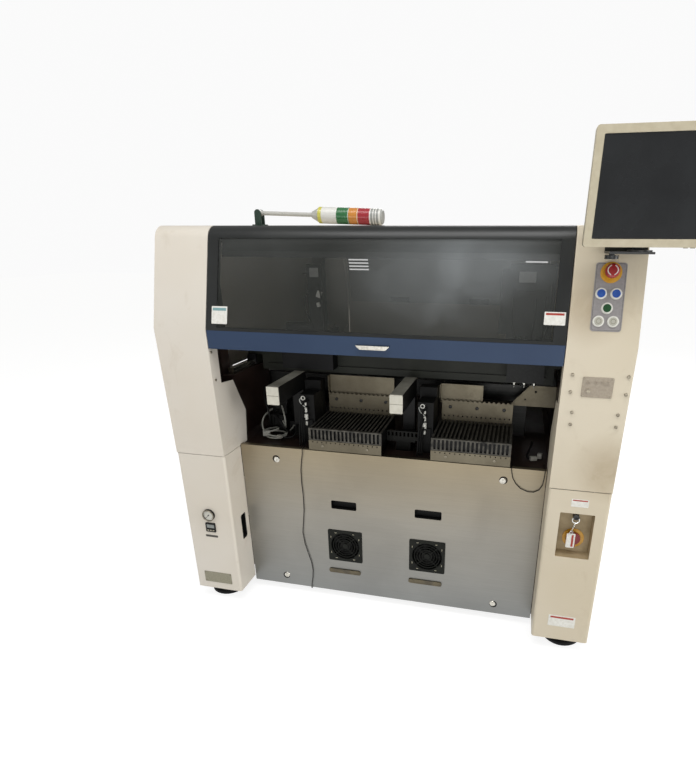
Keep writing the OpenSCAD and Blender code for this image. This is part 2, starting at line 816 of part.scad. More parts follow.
module spindle_2() spindle(0);

module spindle_3() spindle(1);

// ---- front hood ----------------------------------------------------------------------------

// The window's place in the side outline
module window_slice() translate([-60, kink_z + 10]) square([200, window_top - kink_z - 10]);

// Frame round the window with its crown and the bosses that turn on the pivot pins
module hood_frame() placed() color(black) difference() {
    union() {
        along_x(-hood_half, hood_half) difference() {
            skin(0, hood_t, hood_back, kink_z);
            translate([-60, kink_z - 60]) square([300, 60]);
        }
        both_sides() translate([hood_half - 24, pivot_y, pivot_z]) rotate([0, 90, 0])
            cylinder(r = 15, h = 24);
    }
    along_x(hood_side - hood_half, hood_half - hood_side) window_slice();
    both_sides() translate([hood_half - 22, pivot_y, pivot_z]) rotate([0, 90, 0])
        cylinder(r = pivot_d / 2 + fit, h = 24);
}

// Smoked window set into the frame
module hood_window() placed() color([0.16, 0.17, 0.19, 0.45])
    along_x(hood_side - hood_half, hood_half - hood_side) intersection() {
        skin(3, 3 + glass_t, hood_back, kink_z);
        window_slice();
    }

// Blue lower band with a folded lower edge
module hood_band() placed() color(blue) along_x(-hood_half, hood_half) difference() {
    union() {
        skin(0, 4, hood_back, band_z);
        intersection() {
            skin(0, 30, hood_back, band_z);
            translate([-60, band_z]) square([200, 4]);
        }
        intersection() {
            skin(0, hood_t, hood_back, band_z);
            translate([-60, kink_z - 6]) square([200, 6]);
        }
    }
    translate([-60, kink_z]) square([400, roof_z]);
}

// Boat-shaped pull with a finger scoop under it
module hood_handle() placed() color(alloy)
    on_front(0, (band_z + kink_z) / 2) difference() {
        linear_extrude(16) polygon([
            [-handle_w / 2, 7], [handle_w / 2, 7], [handle_w / 2 - 3, 2],
            [handle_w / 2 - 14, -7], [14 - handle_w / 2, -7], [3 - handle_w / 2, 2]
        ]);
        translate([0, -14, 3]) rotate([0, 90, 0])
            cylinder(r = 11, h = handle_w - 40, center = true);
    }

// ---- rear hood -----------------------------------------------------------------------------

// Painted hood at the back with two fields of cooling slots and two grip cups set into it
module rear_hood() placed() color(cream) at_back() difference() {
    union() {
        along_x(-hood_half, hood_half) skin(0, sheet, hood_back, rear_low_z);
        both_sides() along_x(hood_half - 3, hood_half) skin(0, 30, hood_back, rear_low_z);
        both_sides() translate([hood_half - 24, pivot_y, pivot_z]) rotate([0, 90, 0])
            cylinder(r = 15, h = 24);
        along_x(-hood_half, hood_half) intersection() {
            skin(0, 30, hood_back, rear_low_z);
            translate([-60, rear_low_z]) square([200, 4]);
        }
        for (x = rear_grips) on_front(x, rear_grip_z) translate([0, 0, -20])
            linear_extrude(19) rounded(rear_grip_w + 6, rear_grip_h + 6, 6);
        both_sides() along_x(hood_half - 24, hood_half) intersection() {
            outline(sheet / 2, hood_back, rear_low_z);
            translate([pivot_y - 14, pivot_z]) square([28, roof_z - pivot_z]);
        }
    }
    for (side = [-1, 1], k = [0 : louvres - 1]) on_lean(side * louvre_x, 133 + k * 20)
        translate([0, 0, -40]) linear_extrude(50) rounded(louvre_w, 9, 4.4);
    for (x = rear_grips) on_front(x, rear_grip_z) translate([0, 0, -17])
        linear_extrude(20) rounded(rear_grip_w, rear_grip_h, 4);
    both_sides() translate([hood_half - 22, pivot_y, pivot_z]) rotate([0, 90, 0])
        cylinder(r = pivot_d / 2 + fit, h = 24);
}

// ---- operator controls ---------------------------------------------------------------------

module operator_plate() placed() color(grey) on_lean(operator_x, operator_s)
    linear_extrude(plate_t) rounded(operator_w, operator_h, 9);

// Yellow discs of the emergency stop and of the main switch
module yellow_collars() placed() color(yellow) {
    at_operator(stop_at) difference() {
        union() {
            cylinder(r = collar_r, h = 2.5);
            cylinder(r = 15, h = 9);
        }
        translate([0, 0, 2]) cylinder(r = stop_stem + fit, h = 10);
    }
    on_lower(handle_x, handle_z, switch_deep) difference() {
        cylinder(r = 38, h = 3);
        translate([0, 0, -over]) cylinder(r = 9 + fit, h = 5);
    }
}

module at_operator(at) on_lean(operator_x + at[0], operator_s + at[1])
    translate([0, 0, plate_t]) children();

// Bezels that guide the push-buttons
module button_bezels() placed() color(white) for (at = button_places) at_operator(at) difference() {
    union() {
        cylinder(d = bezel_d, h = 3);
        translate([0, 0, 3]) cylinder(d1 = bezel_d, d2 = bezel_d - 3, h = 3);
    }
    translate([0, 0, 0.8]) cylinder(r = cap_r + fit, h = 8);
}

module push_button(k) at_operator(button_places[k]) {
    translate([0, 0, 4]) cylinder(r = cap_r, h = 3.2);
    translate([0, 0, 7.2]) cylinder(r1 = cap_r, r2 = cap_r - 0.8, h = 0.8);
}

// Mushroom head on its stem
module stop_button() placed() color(red) at_operator(stop_at) {
    r = stop_d / 2;
    rotate_extrude() polygon([
        [0, 8], [stop_stem, 8], [stop_stem, 16], [r - 4, 16], [r, 19], [r, 26], [r - 2, 29],
        [r - 6, 31], [0, 32]
    ]);
}

module blue_button_left() placed() color(blue) push_button(0);

module blue_button_right() placed() color(blue) push_button(1);

module green_button() placed() color([0.1, 0.4, 0.2]) push_button(2);

module clear_button_left() placed() color(white) push_button(3);

module clear_button_right() placed() color(white) push_button(4);

// Service plate with two round sockets, a port and the key switch's collar
module service_plate() placed() color(grey) on_front(operator_x, service_z) {
    linear_extrude(2) rounded(94, 66, 5);
    for (x = [-30, -5]) translate([x, 16, 2]) difference() {
        cylinder(r = 5, h = 2.5);
        translate([0, 0, 0.5]) cylinder(r = 3, h = 3);
    }
    translate([22, 16, 2]) difference() {
        translate([-12, -5, 0]) cube([24, 10, 2.5]);
        translate([-9, -3, 0.8]) cube([18, 6, 3]);
    }
    translate([key_at[0], key_at[1], 2]) difference() {
        cylinder(r = 9, h = 3);
        translate([0, 0, 0.6]) cylinder(r = 6 + fit, h = 3);
    }
}

// Slotted key barrel
module key_switch() placed() color(alloy) on_front(operator_x, service_z)
    translate([key_at[0], key_at[1], 2 + 0.6 + run]) difference() {
        cylinder(r = 6, h = 4);
        translate([-0.8, -4, 2]) cube([1.6, 8, 3]);
    }

// Folded box behind the opening in the right lower cover
module switch_box() placed() color(cream) on_lower(switch_x, switch_z, sheet) difference() {
    translate([0, 0, -switch_deep - 2 + sheet]) linear_extrude(switch_deep + 2 - sheet)
        rounded(switch_w + 8, switch_h + 8, 6);
    translate([0, 0, -switch_deep + sheet]) linear_extrude(switch_deep + over)
        rounded(switch_w, switch_h, 4);
}

// Rotary handle with a raised grip
module switch_handle() placed() color(red) on_lower(handle_x, handle_z, switch_deep - 3 - run) {
    translate([0, 0, -3]) cylinder(r = 9, h = 4);
    cylinder(r = 25, h = 7);
    translate([0, 0, 7]) linear_extrude(16) rounded(15, 52, 6);
}

// Gauge case with its dial pocket and needle pin, and the digital pressure switch below it
module pressure_unit() placed() color(black) {
    on_lower(gauge_x, gauge_z) {
        difference() {
            union() {
                cylinder(d = gauge_d, h = 10);
                translate([0, 0, 10]) cylinder(d1 = gauge_d, d2 = gauge_d - 3, h = 2);
            }
            translate([0, 0, 7]) cylinder(d = gauge_d - 7, h = 6);
        }
        translate([0, 0, 6]) cylinder(r = 1, h = 3.2);
    }
    on_lower(gauge_x, gauge_z - 59) difference() {
        linear_extrude(5) rounded(44, 42, 3);
        translate([0, 6, 4]) linear_extrude(2) rounded(36, 18, 1);
    }
}

// Needle on the gauge's pin, at rest at zero
module gauge_needle() placed() color(black) on_lower(gauge_x, gauge_z) rotate(225)
    translate([0, 0, 7 + run]) difference() {
        union() {
            cylinder(r = 2.6, h = 1.2);
            translate([-6, -0.6, 0]) cube([gauge_d / 2 + 0.5, 1.2, 1]);
        }
        translate([0, 0, -over]) cylinder(r = 1 + fit, h = 4);
    }

// ---- monitor -------------------------------------------------------------------------------

// Steel shelf with a flange on the leaning face and a locking knob under it
module monitor_bracket() placed() color(black) {
    face = -kink_out + (bracket_z - kink_z) * tan(lean);
    block([upright_x0, half_w - 5], [hinge_y - 36, face - 0.5], [bracket_z, bracket_z + 6]);
    on_lean(0, (bracket_z - kink_z) / cos(lean)) block([upright_x0, half_w - 5], [0, 36], [0, 5]);
    translate([711, hinge_y - 8, bracket_z - 14]) {
        cylinder(r = 19, h = 10);
        cylinder(r = 8, h = 14);
    }
    translate([hinge_x, hinge_y, bracket_z + 6]) cylinder(r = 14, h = 3);
}

// Turntable, upright and tilt pin behind the monitor
module monitor_arm() placed() color(black) {
    z = bracket_z + 6 + run;
    difference() {
        translate([hinge_x, hinge_y, z]) cylinder(r = 34, h = 4);
        translate([hinge_x, hinge_y, z - over]) cylinder(r = 14 + fit, h = 4);
    }
    block([hinge_x - 15, hinge_x + 15], [tilt_y - 7, tilt_y + 7], [z + 1, tilt_z]);
    translate([mon_mid - 60, tilt_y, tilt_z]) rotate([0, 90, 0]) cylinder(r = 5, h = 120);
    translate([mon_mid - 46, tilt_y, tilt_z]) rotate([0, 90, 0]) cylinder(r = 10, h = 92);
}

// Housing with a stepped back, the screen's pocket and two ears on the tilt pin
module monitor_housing() placed() color([0.74, 0.72, 0.60]) difference() {
    union() {
        along_y(mon_y0, mon_y0 + 32) translate([mon_mid, tilt_z]) rounded(mon_w, mon_h, 8);
        along_y(mon_y0 + 32, -2) translate([mon_mid, tilt_z]) rounded(mon_w - 50, mon_h - 50, 14);
        for (s = [-1, 1]) {
            translate([mon_mid + s * 53 - 5, tilt_y, tilt_z]) rotate([0, 90, 0]) cylinder(r = 12, h = 10);
            block([mon_mid + s * 53 - 5, mon_mid + s * 53 + 5], [-3, tilt_y], [tilt_z - 12, tilt_z + 12]);
        }
    }
    along_y(mon_y0 - over, mon_y0 + 4) translate([mon_mid, tilt_z])
        rounded(mon_w - 2 * mon_frame, mon_h - 2 * mon_frame, 3);
    translate([mon_mid - 70, tilt_y, tilt_z]) rotate([0, 90, 0]) cylinder(r = 5 + fit, h = 140);
    along_y(mon_y0 + mon_d + 1, tilt_y + 20) translate([mon_mid, tilt_z]) square([96, 40], center = true);
}

module monitor_screen() placed() color(black) along_y(mon_y0 + 2, mon_y0 + 4)
    translate([mon_mid, tilt_z]) rounded(mon_w - 2 * mon_frame, mon_h - 2 * mon_frame, 3);

// ---- signal tower --------------------------------------------------------------------------

// Foot on the roof with two ears and a pin
module tower_foot() placed() color(black) translate([tower_x, tower_y, roof_z]) {
    cylinder(r = 28, h = 5);
    for (s = [-1, 1]) translate([0, s * 13, 0]) rotate([90, 0, 0])
        linear_extrude(5, center = true) union() {
            translate([-12, 4]) square([24, tower_h - 4]);
            translate([0, tower_h]) circle(12);
        }
    translate([0, 0, tower_h]) rotate([90, 0, 0]) cylinder(r = 4, h = 30, center = true);
}

module tower_axis() translate([tower_x, tower_y, roof_z + tower_h]) rotate([0, droop, 0])
    rotate([0, 90, 0]) children();

// A round stretch of the stack between two distances from the pivot
module stack(s0, s1, r) translate([0, 0, s0]) cylinder(r = r, h = s1 - s0);

// Pole with its eye, the cone, the carriers between the lamps and the end cap
module tower_tube() placed() color(white) tower_axis() difference() {
    r = tower_d / 2;
    union() {
        rotate([90, 0, 0]) cylinder(r = 11, h = 20, center = true);
        stack(6, 210, pole_d / 2);
        translate([0, 0, 203]) cylinder(r1 = 11, r2 = r - 5, h = 22);
        stack(225, 231, r - 4);
        stack(243, 299, r);
        stack(231, 243, r - 6);
        stack(299, 417, r - 16);
        stack(417, 454, r);
        translate([0, 0, 454]) cylinder(r1 = r, r2 = r - 6, h = stack_len - 454);
        for (s = [340, 373]) stack(s, s + 2, r - 0.5);
    }
    rotate([90, 0, 0]) cylinder(r = 4 + fit, h = 24, center = true);
}

// Locking ring and three lamp lenses, each a hollow shell round the stem
module tower_lenses() placed() color([0.8, 0.5, 0.2]) tower_axis() {
    r = tower_d / 2;
    for (s = [[231, 243, 6], [299, 340, 16], [342, 373, 16], [375, 417, 16]]) difference() {
        stack(s[0], s[1], r);
        stack(s[0] - over, s[1] + over, r - s[2]);
    }
}

// ---- hoses and leads -----------------------------------------------------------------------

function unit(v) = v / norm(v);
function blend(p, i, t) =
    let (a = p[max(i - 1, 0)], b = p[i], c = p[i + 1], d = p[min(i + 2, len(p) - 1)])
    0.5 * (2 * b + (c - a) * t + (2 * a - 5 * b + 4 * c - d) * t * t
        + (3 * b - a - 3 * c + d) * t * t * t);
function smooth(p, n) = [
    for (i = [0 : len(p) - 2], k = [0 : n - 1]) blend(p, i, k / n),
    p[len(p) - 1]
];
function headings(p, first, last) = [
    for (i = [0 : len(p) - 1])
        i == 0 ? first : i == len(p) - 1 ? last : unit(p[i + 1] - p[i - 1])
];
function sides(t) = [
    for (i = 0, n = unit(cross(t[0], [0.3, 0.2, 0.9])); i < len(t);
        i = i + 1, n = i < len(t) ? unit(n - (n * t[i]) * t[i]) : n) n
];

// A round tube of eight sides swept along a route
module tube(route, d, n) {
    p = smooth(route, n);
    end = len(route) - 1;
    t = headings(p, unit(route[1] - route[0]), unit(route[end] - route[end - 1]));
    s = sides(t);
    m = 8;
    rings = [for (i = [0 : len(p) - 1], k = [0 : m - 1])
        p[i] + d / 2 * (cos(k * 360 / m) * s[i] + sin(k * 360 / m) * cross(t[i], s[i]))];
    last = (len(p) - 1) * m;
    polyhedron(rings, concat(
        [[for (k = [0 : m - 1]) k]],
        [for (i = [0 : len(p) - 2], k = [0 : m - 1])
            [i * m + k, (i + 1) * m + k, (i + 1) * m + (k + 1) % m, i * m + (k + 1) % m]],
        [[for (k = [m - 1 : -1 : 0]) last + k]]
    ));
}

// Air hoses from the fittings down to the bed
module air_hoses() placed() color(black) for (x = [bank_left, bank_right], k = [0 : 2]) {
    x0 = box_x(x) + fitting_dx;
    z = fitting_heights[k];
    tube([
        [x0, box_y0 - 18, z], [x0, box_y0 - 25, z], [x0 - 3 * k, 196 - 4 * k, z - 12],
        [x0 - 4 - 5 * k, 194 - 5 * k, z - 40], [x0 - 6 - 8 * k, 196 - 5 * k, bed_z + 26],
        [x0 - 6 - 8 * k, 196 - 5 * k, bed_z]
    ], hose_d, 2);
}

// Lead that comes over the panel's edge, hangs down its face and goes in under it
left_route = [
    [-345, 222, 728], [-345, 212, 728], [-344, 190, 718], [-343, 164, 711], [-342, 145, 709],
    [-341, 128, 709.5], [-341, 124.8, 708.6], [-341, 122.4, 706.2], [-341, 121.5, 702],
    [-342, 122.5, 690], [-348, 124, 660], [-354, 124, 616], [-355, 124, 560], [-352, 124, 500],
    [-353, 124, 430], [-360, 124, 370], [-366, 124, 320], [-360, 124, 265], [-349, 124, 222],
    [-336, 124, 175], [-331, 124, 134], [-334, 124, 95], [-340, 123.5, 60], [-342, 122, 42],
    [-342, 123.9, 35.4], [-342, 128.5, 33.5], [-342, 140, 33], [-342, 150, 34.5],
    [-342, 154.6, 37], [-342, 156.5, 42], [-342, 158, 60], [-342, 161, 90], [-342, 162, 108],
    [-342, 162, 115]
];

module left_lead() placed() color(black) tube(left_route, lead_d, 1);

// Lead that loops over the panel's edge between two places on the bed
right_route = [
    [486, 190, 696], [486, 190, 704], [486, 184, 712], [486, 170, 713], [486, 150, 709.5],
    [486, 128, 709.5], [486, 124.8, 708.6], [486, 122.4, 706.2], [487, 121.5, 702],
    [489, 122.5, 690], [494, 124, 668], [506, 124, 646], [526, 124, 627], [551, 124, 617],
    [575, 124, 617], [594, 124, 629], [604, 124, 650], [607, 123.5, 676], [608, 122.5, 692],
    [608, 121.5, 702], [608, 122.4, 706.2], [608, 124.8, 708.6], [608, 128, 709.5],
    [607, 150, 709.5], [606, 170, 713], [606, 184, 712], [606, 190, 704], [606, 190, 696]
];

module right_lead() placed() color(black) tube(right_route, lead_d, 1);

base_frame();
machine_bed();
levelling_feet();
left_lower_cover();
right_lower_cover();
left_upper_cover();
right_upper_cover();
left_side_cover();
right_side_cover();
roof_panel();
front_panel();
panel_locks();
grip_cups();
fan_housings();
fan_rotor_left();
fan_rotor_right();
rear_panel();
feeder_bases();
feeder_plates();
supply_beams();
beam_end_caps();
connector_boxes();
air_hoses();
conveyor_fixed_rail();
conveyor_moving_rail();
y_guides();
gantry_beam();
head_unit();
spindle_1();
spindle_2();
spindle_3();
hood_frame();
hood_window();
hood_band();
hood_handle();
rear_hood();
operator_plate();
yellow_collars();
button_bezels();
stop_button();
blue_button_left();
blue_button_right();
green_button();
clear_button_left();
clear_button_right();
service_plate();
key_switch();
switch_box();
switch_handle();
pressure_unit();
gauge_needle();
monitor_bracket();
monitor_arm();
monitor_housing();
monitor_screen();
tower_foot();
tower_tube();
tower_lenses();
left_lead();
right_lead();
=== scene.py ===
"""Electronics placement machine: finishes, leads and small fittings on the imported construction."""

import math

import bpy
from mathutils import Matrix, Vector


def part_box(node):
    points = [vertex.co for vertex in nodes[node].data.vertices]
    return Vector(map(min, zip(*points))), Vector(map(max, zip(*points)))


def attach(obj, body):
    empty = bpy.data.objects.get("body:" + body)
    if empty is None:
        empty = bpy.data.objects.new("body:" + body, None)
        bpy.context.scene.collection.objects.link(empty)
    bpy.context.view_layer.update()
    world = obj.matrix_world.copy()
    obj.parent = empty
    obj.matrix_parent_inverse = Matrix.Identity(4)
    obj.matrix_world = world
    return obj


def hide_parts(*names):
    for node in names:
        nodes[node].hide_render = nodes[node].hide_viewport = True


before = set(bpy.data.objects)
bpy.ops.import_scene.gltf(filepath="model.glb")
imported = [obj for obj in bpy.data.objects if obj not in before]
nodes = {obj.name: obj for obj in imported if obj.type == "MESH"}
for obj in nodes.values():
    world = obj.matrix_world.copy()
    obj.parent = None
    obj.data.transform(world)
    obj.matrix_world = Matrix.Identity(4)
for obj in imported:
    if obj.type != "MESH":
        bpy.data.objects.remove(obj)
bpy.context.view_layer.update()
bpy.ops.object.select_all(action="DESELECT")

# ---- camera ----
# It stands in front of the machine, right of its middle and at head height, and looks slightly
# down and to the left.

left_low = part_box("left_lower_cover")[0]
right_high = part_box("right_lower_cover")[1]
middle_x = (left_low.x + right_high.x) / 2


def at(x, y, z):
    """A place in millimetres from the machine's middle, its front plane and the floor."""
    return Vector((middle_x + x / 1000, left_low.y + y / 1000, z / 1000))


yaw, pitch, roll = 0.2158, 0.3791, 0.0045
ahead = Vector((-math.sin(yaw) * math.cos(pitch), math.cos(yaw) * math.cos(pitch), -math.sin(pitch)))
level = Vector((math.cos(yaw), math.sin(yaw), 0))
over_it = level.cross(ahead)
across = math.cos(roll) * level + math.sin(roll) * over_it
upward = math.cos(roll) * over_it - math.sin(roll) * level
bpy.ops.object.camera_add(location=at(467.6, -1693.5, 1491.9))
camera = bpy.context.object
camera.rotation_euler = Matrix((across, upward, -ahead)).transposed().to_euler()
camera.data.lens = 24.26
camera.data.shift_x = -0.0695
camera.data.shift_y = 0.0786
camera.data.clip_start = 0.05
bpy.context.scene.camera = camera

# ---- leads over the front panel ----
# Two thin black leads with a PVC sheath hang over the upper edge of the steel panel. The left
# one goes in under the panel, the right one comes back over the edge. Both are held at each end.


def linear(code):
    """An sRGB hex colour in linear light."""
    parts = [int(code[k:k + 2], 16) / 255 for k in (1, 3, 5)]
    return [c / 12.92 if c <= 0.04045 else ((c + 0.055) / 1.055) ** 2.4 for c in parts] + [1]


def add(tree, kind, inputs=None, stops=(), **settings):
    """Adds a shader node. Inputs are values, or the nodes or sockets that feed them; stops are a
    ramp's places with their colours or grey levels."""
    node = tree.nodes.new("ShaderNode" + kind)
    for name, value in settings.items():
        setattr(node, name, value)
    for name, value in (inputs or {}).items():
        if isinstance(value, bpy.types.Node):
            value = value.outputs[0]
        if isinstance(value, bpy.types.NodeSocket):
            tree.links.new(value, node.inputs[name])
        else:
            node.inputs[name].default_value = value
    if stops:
        points = node.color_ramp.elements
        while len(points) < len(stops):
            points.new(0.5)
        for point, (place, colour) in zip(points, stops):
            point.position = place
            point.color = linear(colour) if isinstance(colour, str) else (colour, colour, colour, 1)
    return node


def finish(name):
    """A new material, its empty tree and the coordinates of the piece that wears it."""
    made = bpy.data.materials.new(name)
    made.use_nodes = True
    made.node_tree.nodes.clear()
    return made, made.node_tree, add(made.node_tree, "TexCoord").outputs["Object"]


def shade(tree, **sockets):
    """The material's shader, fed by values and nodes, joined to its output."""
    inputs = {name.replace("_", " "): value for name, value in sockets.items()}
    add(tree, "OutputMaterial", {"Surface": add(tree, "BsdfPrincipled", inputs)})


def clouded(name, scale, detail, stops, gloss=None, skin=None, **sockets):
    """A finish whose tone follows one noise. Its gloss (least and most roughness) and its skin
    (bump strength and height) may follow it too."""
    made, tree, place = finish(name)
    noise = add(tree, "TexNoise", {"Vector": place, "Scale": scale, "Detail": detail})
    sockets["Base_Color"] = add(tree, "ValToRGB", {"Fac": noise}, stops=stops)
    if gloss:
        least, most = gloss
        sockets["Roughness"] = add(tree, "MapRange", {"Value": noise, "To Min": least, "To Max": most})
    if skin:
        strength, high = skin
        sockets["Normal"] = add(tree, "Bump", {"Strength": strength, "Distance": high, "Height": noise})
    shade(tree, **sockets)
    return made


# PVC sheath: satin black, with the slight waviness that extruding leaves along it.
pvc = clouded("PVC_cable_sheath", 160.0, 3.0, [(0.3, "#120F0D"), (0.8, "#211C18")],
              skin=(0.15, 0.0004), Roughness=0.5, Specular_IOR_Level=0.3)


def line(name, route, thick, kind, sides):
    """A round line along its route, as a curve of one open spline."""
    curve = bpy.data.curves.new(name, "CURVE")
    curve.dimensions = "3D"
    curve.bevel_depth = thick / 2
    curve.bevel_resolution = sides
    curve.resolution_u = 5
    curve.use_fill_caps = True
    spline = curve.splines.new(kind)
    spline.points.add(len(route) - 1)
    for point, spot in zip(spline.points, route):
        point.co = (*at(*spot), 1)
    piece = bpy.data.objects.new(name, curve)
    bpy.context.scene.collection.objects.link(piece)
    return piece, spline


lead_d = 0.0032


def lead(name, route, node):
    """A hanging lead that is held at both its ends."""
    piece, spline = line(name, route, lead_d, "POLY", 3)
    piece.data.materials.append(pvc)
    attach(piece, "cabinet")
    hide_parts(node)


lead("left_hanging_lead", [
    (-345, 222, 728), (-345, 212, 728), (-344, 190, 718), (-343, 164, 711), (-342, 145, 709),
    (-341, 128, 709.5), (-341, 124.8, 708.6), (-341, 122.4, 706.2), (-341, 121.5, 702),
    (-342, 122.5, 690), (-348, 124, 660), (-354, 124, 616), (-355, 124, 560), (-352, 124, 500),
    (-353, 124, 430), (-360, 124, 370), (-366, 124, 320), (-360, 124, 265), (-349, 124, 222),
    (-336, 124, 175), (-331, 124, 134), (-334, 124, 95), (-340, 123.5, 60), (-342, 122, 42),
    (-342, 123.9, 35.4), (-342, 128.5, 33.5), (-342, 140, 33), (-342, 150, 34.5),
    (-342, 154.6, 37), (-342, 156.5, 42), (-342, 158, 60), (-342, 161, 90), (-342, 162, 108),
    (-342, 162, 115)], "left_lead")
lead("right_hanging_lead", [
    (486, 190, 696), (486, 190, 704), (486, 184, 712), (486, 170, 713), (486, 150, 709.5),
    (486, 128, 709.5), (486, 124.8, 708.6), (486, 122.4, 706.2), (487, 121.5, 702),
    (489, 122.5, 690), (494, 124, 668), (506, 124, 646), (526, 124, 627), (551, 124, 617),
    (575, 124, 617), (594, 124, 629), (604, 124, 650), (607, 123.5, 676), (608, 122.5, 692),
    (608, 121.5, 702), (608, 122.4, 706.2), (608, 124.8, 708.6), (608, 128, 709.5),
    (607, 150, 709.5), (606, 170, 713), (606, 184, 712), (606, 190, 704), (606, 190, 696)],
    "right_lead")

# ---- floor and light ----
# A plain pale floor under soft studio light: one large lamp above the front, a low one before
# it, weaker ones at the sides and behind, and a pale surround.

bpy.ops.mesh.primitive_plane_add(size=40, location=(0, 0, 0))
floor = bpy.context.object
floor.name = "studio_floor"
floor_paint, tree, place = finish("Pale_floor_paint")
rays = add(tree, "LightPath")
viewed = add(tree, "Math", {0: rays.outputs["Is Camera Ray"], 1: rays.outputs["Is Glossy Ray"]},
             operation="MAXIMUM")
shown = add(tree, "Math", {0: viewed, 1: rays.outputs["Is Transmission Ray"]}, operation="MAXIMUM")
plain = add(tree, "BsdfDiffuse", {"Color": linear("#C9C8C5")})
dim = add(tree, "BsdfDiffuse", {"Color": linear("#9A9A99")})
glow = add(tree, "Emission", {"Color": (1, 1, 1, 1), "Strength": 0.84})
pale = add(tree, "AddShader", {0: dim, 1: glow})
add(tree, "OutputMaterial", {"Surface": add(tree, "MixShader", {0: shown, 1: plain, 2: pale})})
floor.data.materials.append(floor_paint)

surround = bpy.data.worlds.new("Studio_surround")
bpy.context.scene.world = surround
surround.use_nodes = True
tree = surround.node_tree
tree.nodes.clear()
rays = add(tree, "LightPath")
shown = add(tree, "Math", {0: rays.outputs["Is Camera Ray"], 1: rays.outputs["Is Transmission Ray"]},
            operation="MAXIMUM")
ambient = add(tree, "Background", {"Color": linear("#F2F2F0"), "Strength": 0.44})
white = add(tree, "Background", {"Color": (1, 1, 1, 1), "Strength": 0.96})
add(tree, "OutputWorld", {"Surface": add(tree, "MixShader", {0: shown, 1: ambient, 2: white})})


def soft_lamp(name, place, aim, size, watts):
    """A large soft lamp that points at its aim."""
    bpy.ops.object.light_add(type="AREA", location=place)
    lamp = bpy.context.object
    lamp.name = name
    lamp.data.shape = "RECTANGLE"
    lamp.data.size, lamp.data.size_y = size
    lamp.data.energy = watts
    lamp.rotation_euler = (Vector(aim) - Vector(place)).to_track_quat("-Z", "Y").to_euler()


soft_lamp("lamp_above", (0.2, -2.1, 4.4), (0, -0.5, 0.8), (3.6, 1.6), 86)
soft_lamp("lamp_front", (0.8, -5.0, 0.65), (0, -0.6, 0.5), (3.2, 1.1), 48)
soft_lamp("lamp_left", (-4.2, -2.6, 2.0), (0, -0.4, 0.8), (1.8, 2.4), 24)
soft_lamp("lamp_right", (4.8, -1.7, 1.8), (0, -0.4, 0.8), (1.6, 2.4), 86)
soft_lamp("lamp_behind", (0, 3.6, 3.4), (0, 0.3, 0.9), (3.2, 1.6), 60)
bpy.context.scene.view_settings.view_transform = "Standard"
bpy.ops.object.select_all(action="DESELECT")

# ---- frame, bed and feet ----
# A welded frame of square tube and the cast bed, both under dark red-brown enamel, stand on
# round levelling pads of moulded rubber.


def dress(made, *names):
    """Gives CAD nodes their finish."""
    for name in names:
        nodes[name].data.materials.clear()
        nodes[name].data.materials.append(made)


# Oil-resistant enamel on steel and cast iron: dark, satin, blotched where oil has soaked in.
enamel, tree, place = finish("Dark_machine_enamel")
patch = add(tree, "TexNoise", {"Vector": place, "Scale": 6.0, "Detail": 6.0, "Roughness": 0.6})
tone = add(tree, "ValToRGB", {"Fac": patch}, stops=[(0.32, "#1A120F"), (0.72, "#33241E")])
oil = add(tree, "MapRange", {"Value": patch, "From Min": 0.3, "From Max": 0.7, "To Min": 0.3,
                             "To Max": 0.55})
grain = add(tree, "TexNoise", {"Vector": place, "Scale": 180.0, "Detail": 2.0})
skin = add(tree, "Bump", {"Strength": 0.25, "Distance": 0.0008, "Height": grain})
shade(tree, Base_Color=tone, Roughness=oil, IOR=1.5, Normal=skin)
dress(enamel, "base_frame", "machine_bed")

# Nitrile rubber, moulded: nearly black and matt, greyed by dust on its upper side.
rubber, tree, place = finish("Moulded_nitrile_rubber")
facing = add(tree, "SeparateXYZ", {"Vector": add(tree, "NewGeometry").outputs["Normal"]})
speck = add(tree, "TexNoise", {"Vector": place, "Scale": 60.0, "Detail": 4.0})
settled = add(tree, "Math", {0: facing.outputs["Z"], 1: speck}, operation="MULTIPLY")
tone = add(tree, "ValToRGB", {"Fac": settled}, stops=[(0.2, "#0A0A0A"), (0.75, "#191814")])
shade(tree, Base_Color=tone, Roughness=0.8, Specular_IOR_Level=0.3)
dress(rubber, "levelling_feet")

# ---- cabinet covers ----
# Folded sheet steel under a cream powder coat, hung on the frame's tabs. Years of hands and
# cleaning have left it slightly uneven, with brown smudges where people reach and pass.


def worked(piece, kind, **settings):
    """Adds a modifier to a piece and applies it."""
    step = piece.modifiers.new(kind.lower(), kind)
    for name, value in settings.items():
        setattr(step, name, value)
    bpy.context.view_layer.objects.active = piece
    bpy.ops.object.modifier_apply(modifier=step.name)


def bevelled(piece, width, turn=50, segments=2):
    """Eases the edges at which a piece turns by more than so many degrees."""
    worked(piece, "BEVEL", width=width, segments=segments, limit_method="ANGLE",
           angle_limit=math.radians(turn))
    return piece


def mode(kind):
    """Takes the active piece into edit mode or out of it."""
    bpy.ops.object.mode_set(mode=kind)


def picked(*pieces):
    """Selects these pieces alone, the first of them as the active one."""
    bpy.ops.object.select_all(action="DESELECT")
    for piece in pieces:
        piece.select_set(True)
    bpy.context.view_layer.objects.active = pieces[0]


def finished(piece, name, made=None, body="cabinet"):
    """Puts a piece's place into its mesh, names it and lets it ride with its body."""
    picked(piece)
    bpy.ops.object.transform_apply(location=True, rotation=True, scale=True)
    bpy.ops.object.shade_smooth_by_angle(angle=math.radians(32))
    worked(piece, "WEIGHTED_NORMAL", keep_sharp=True)
    piece.name = name
    if made:
        piece.data.materials.clear()
        piece.data.materials.append(made)
    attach(piece, body)
    piece.select_set(False)
    return piece


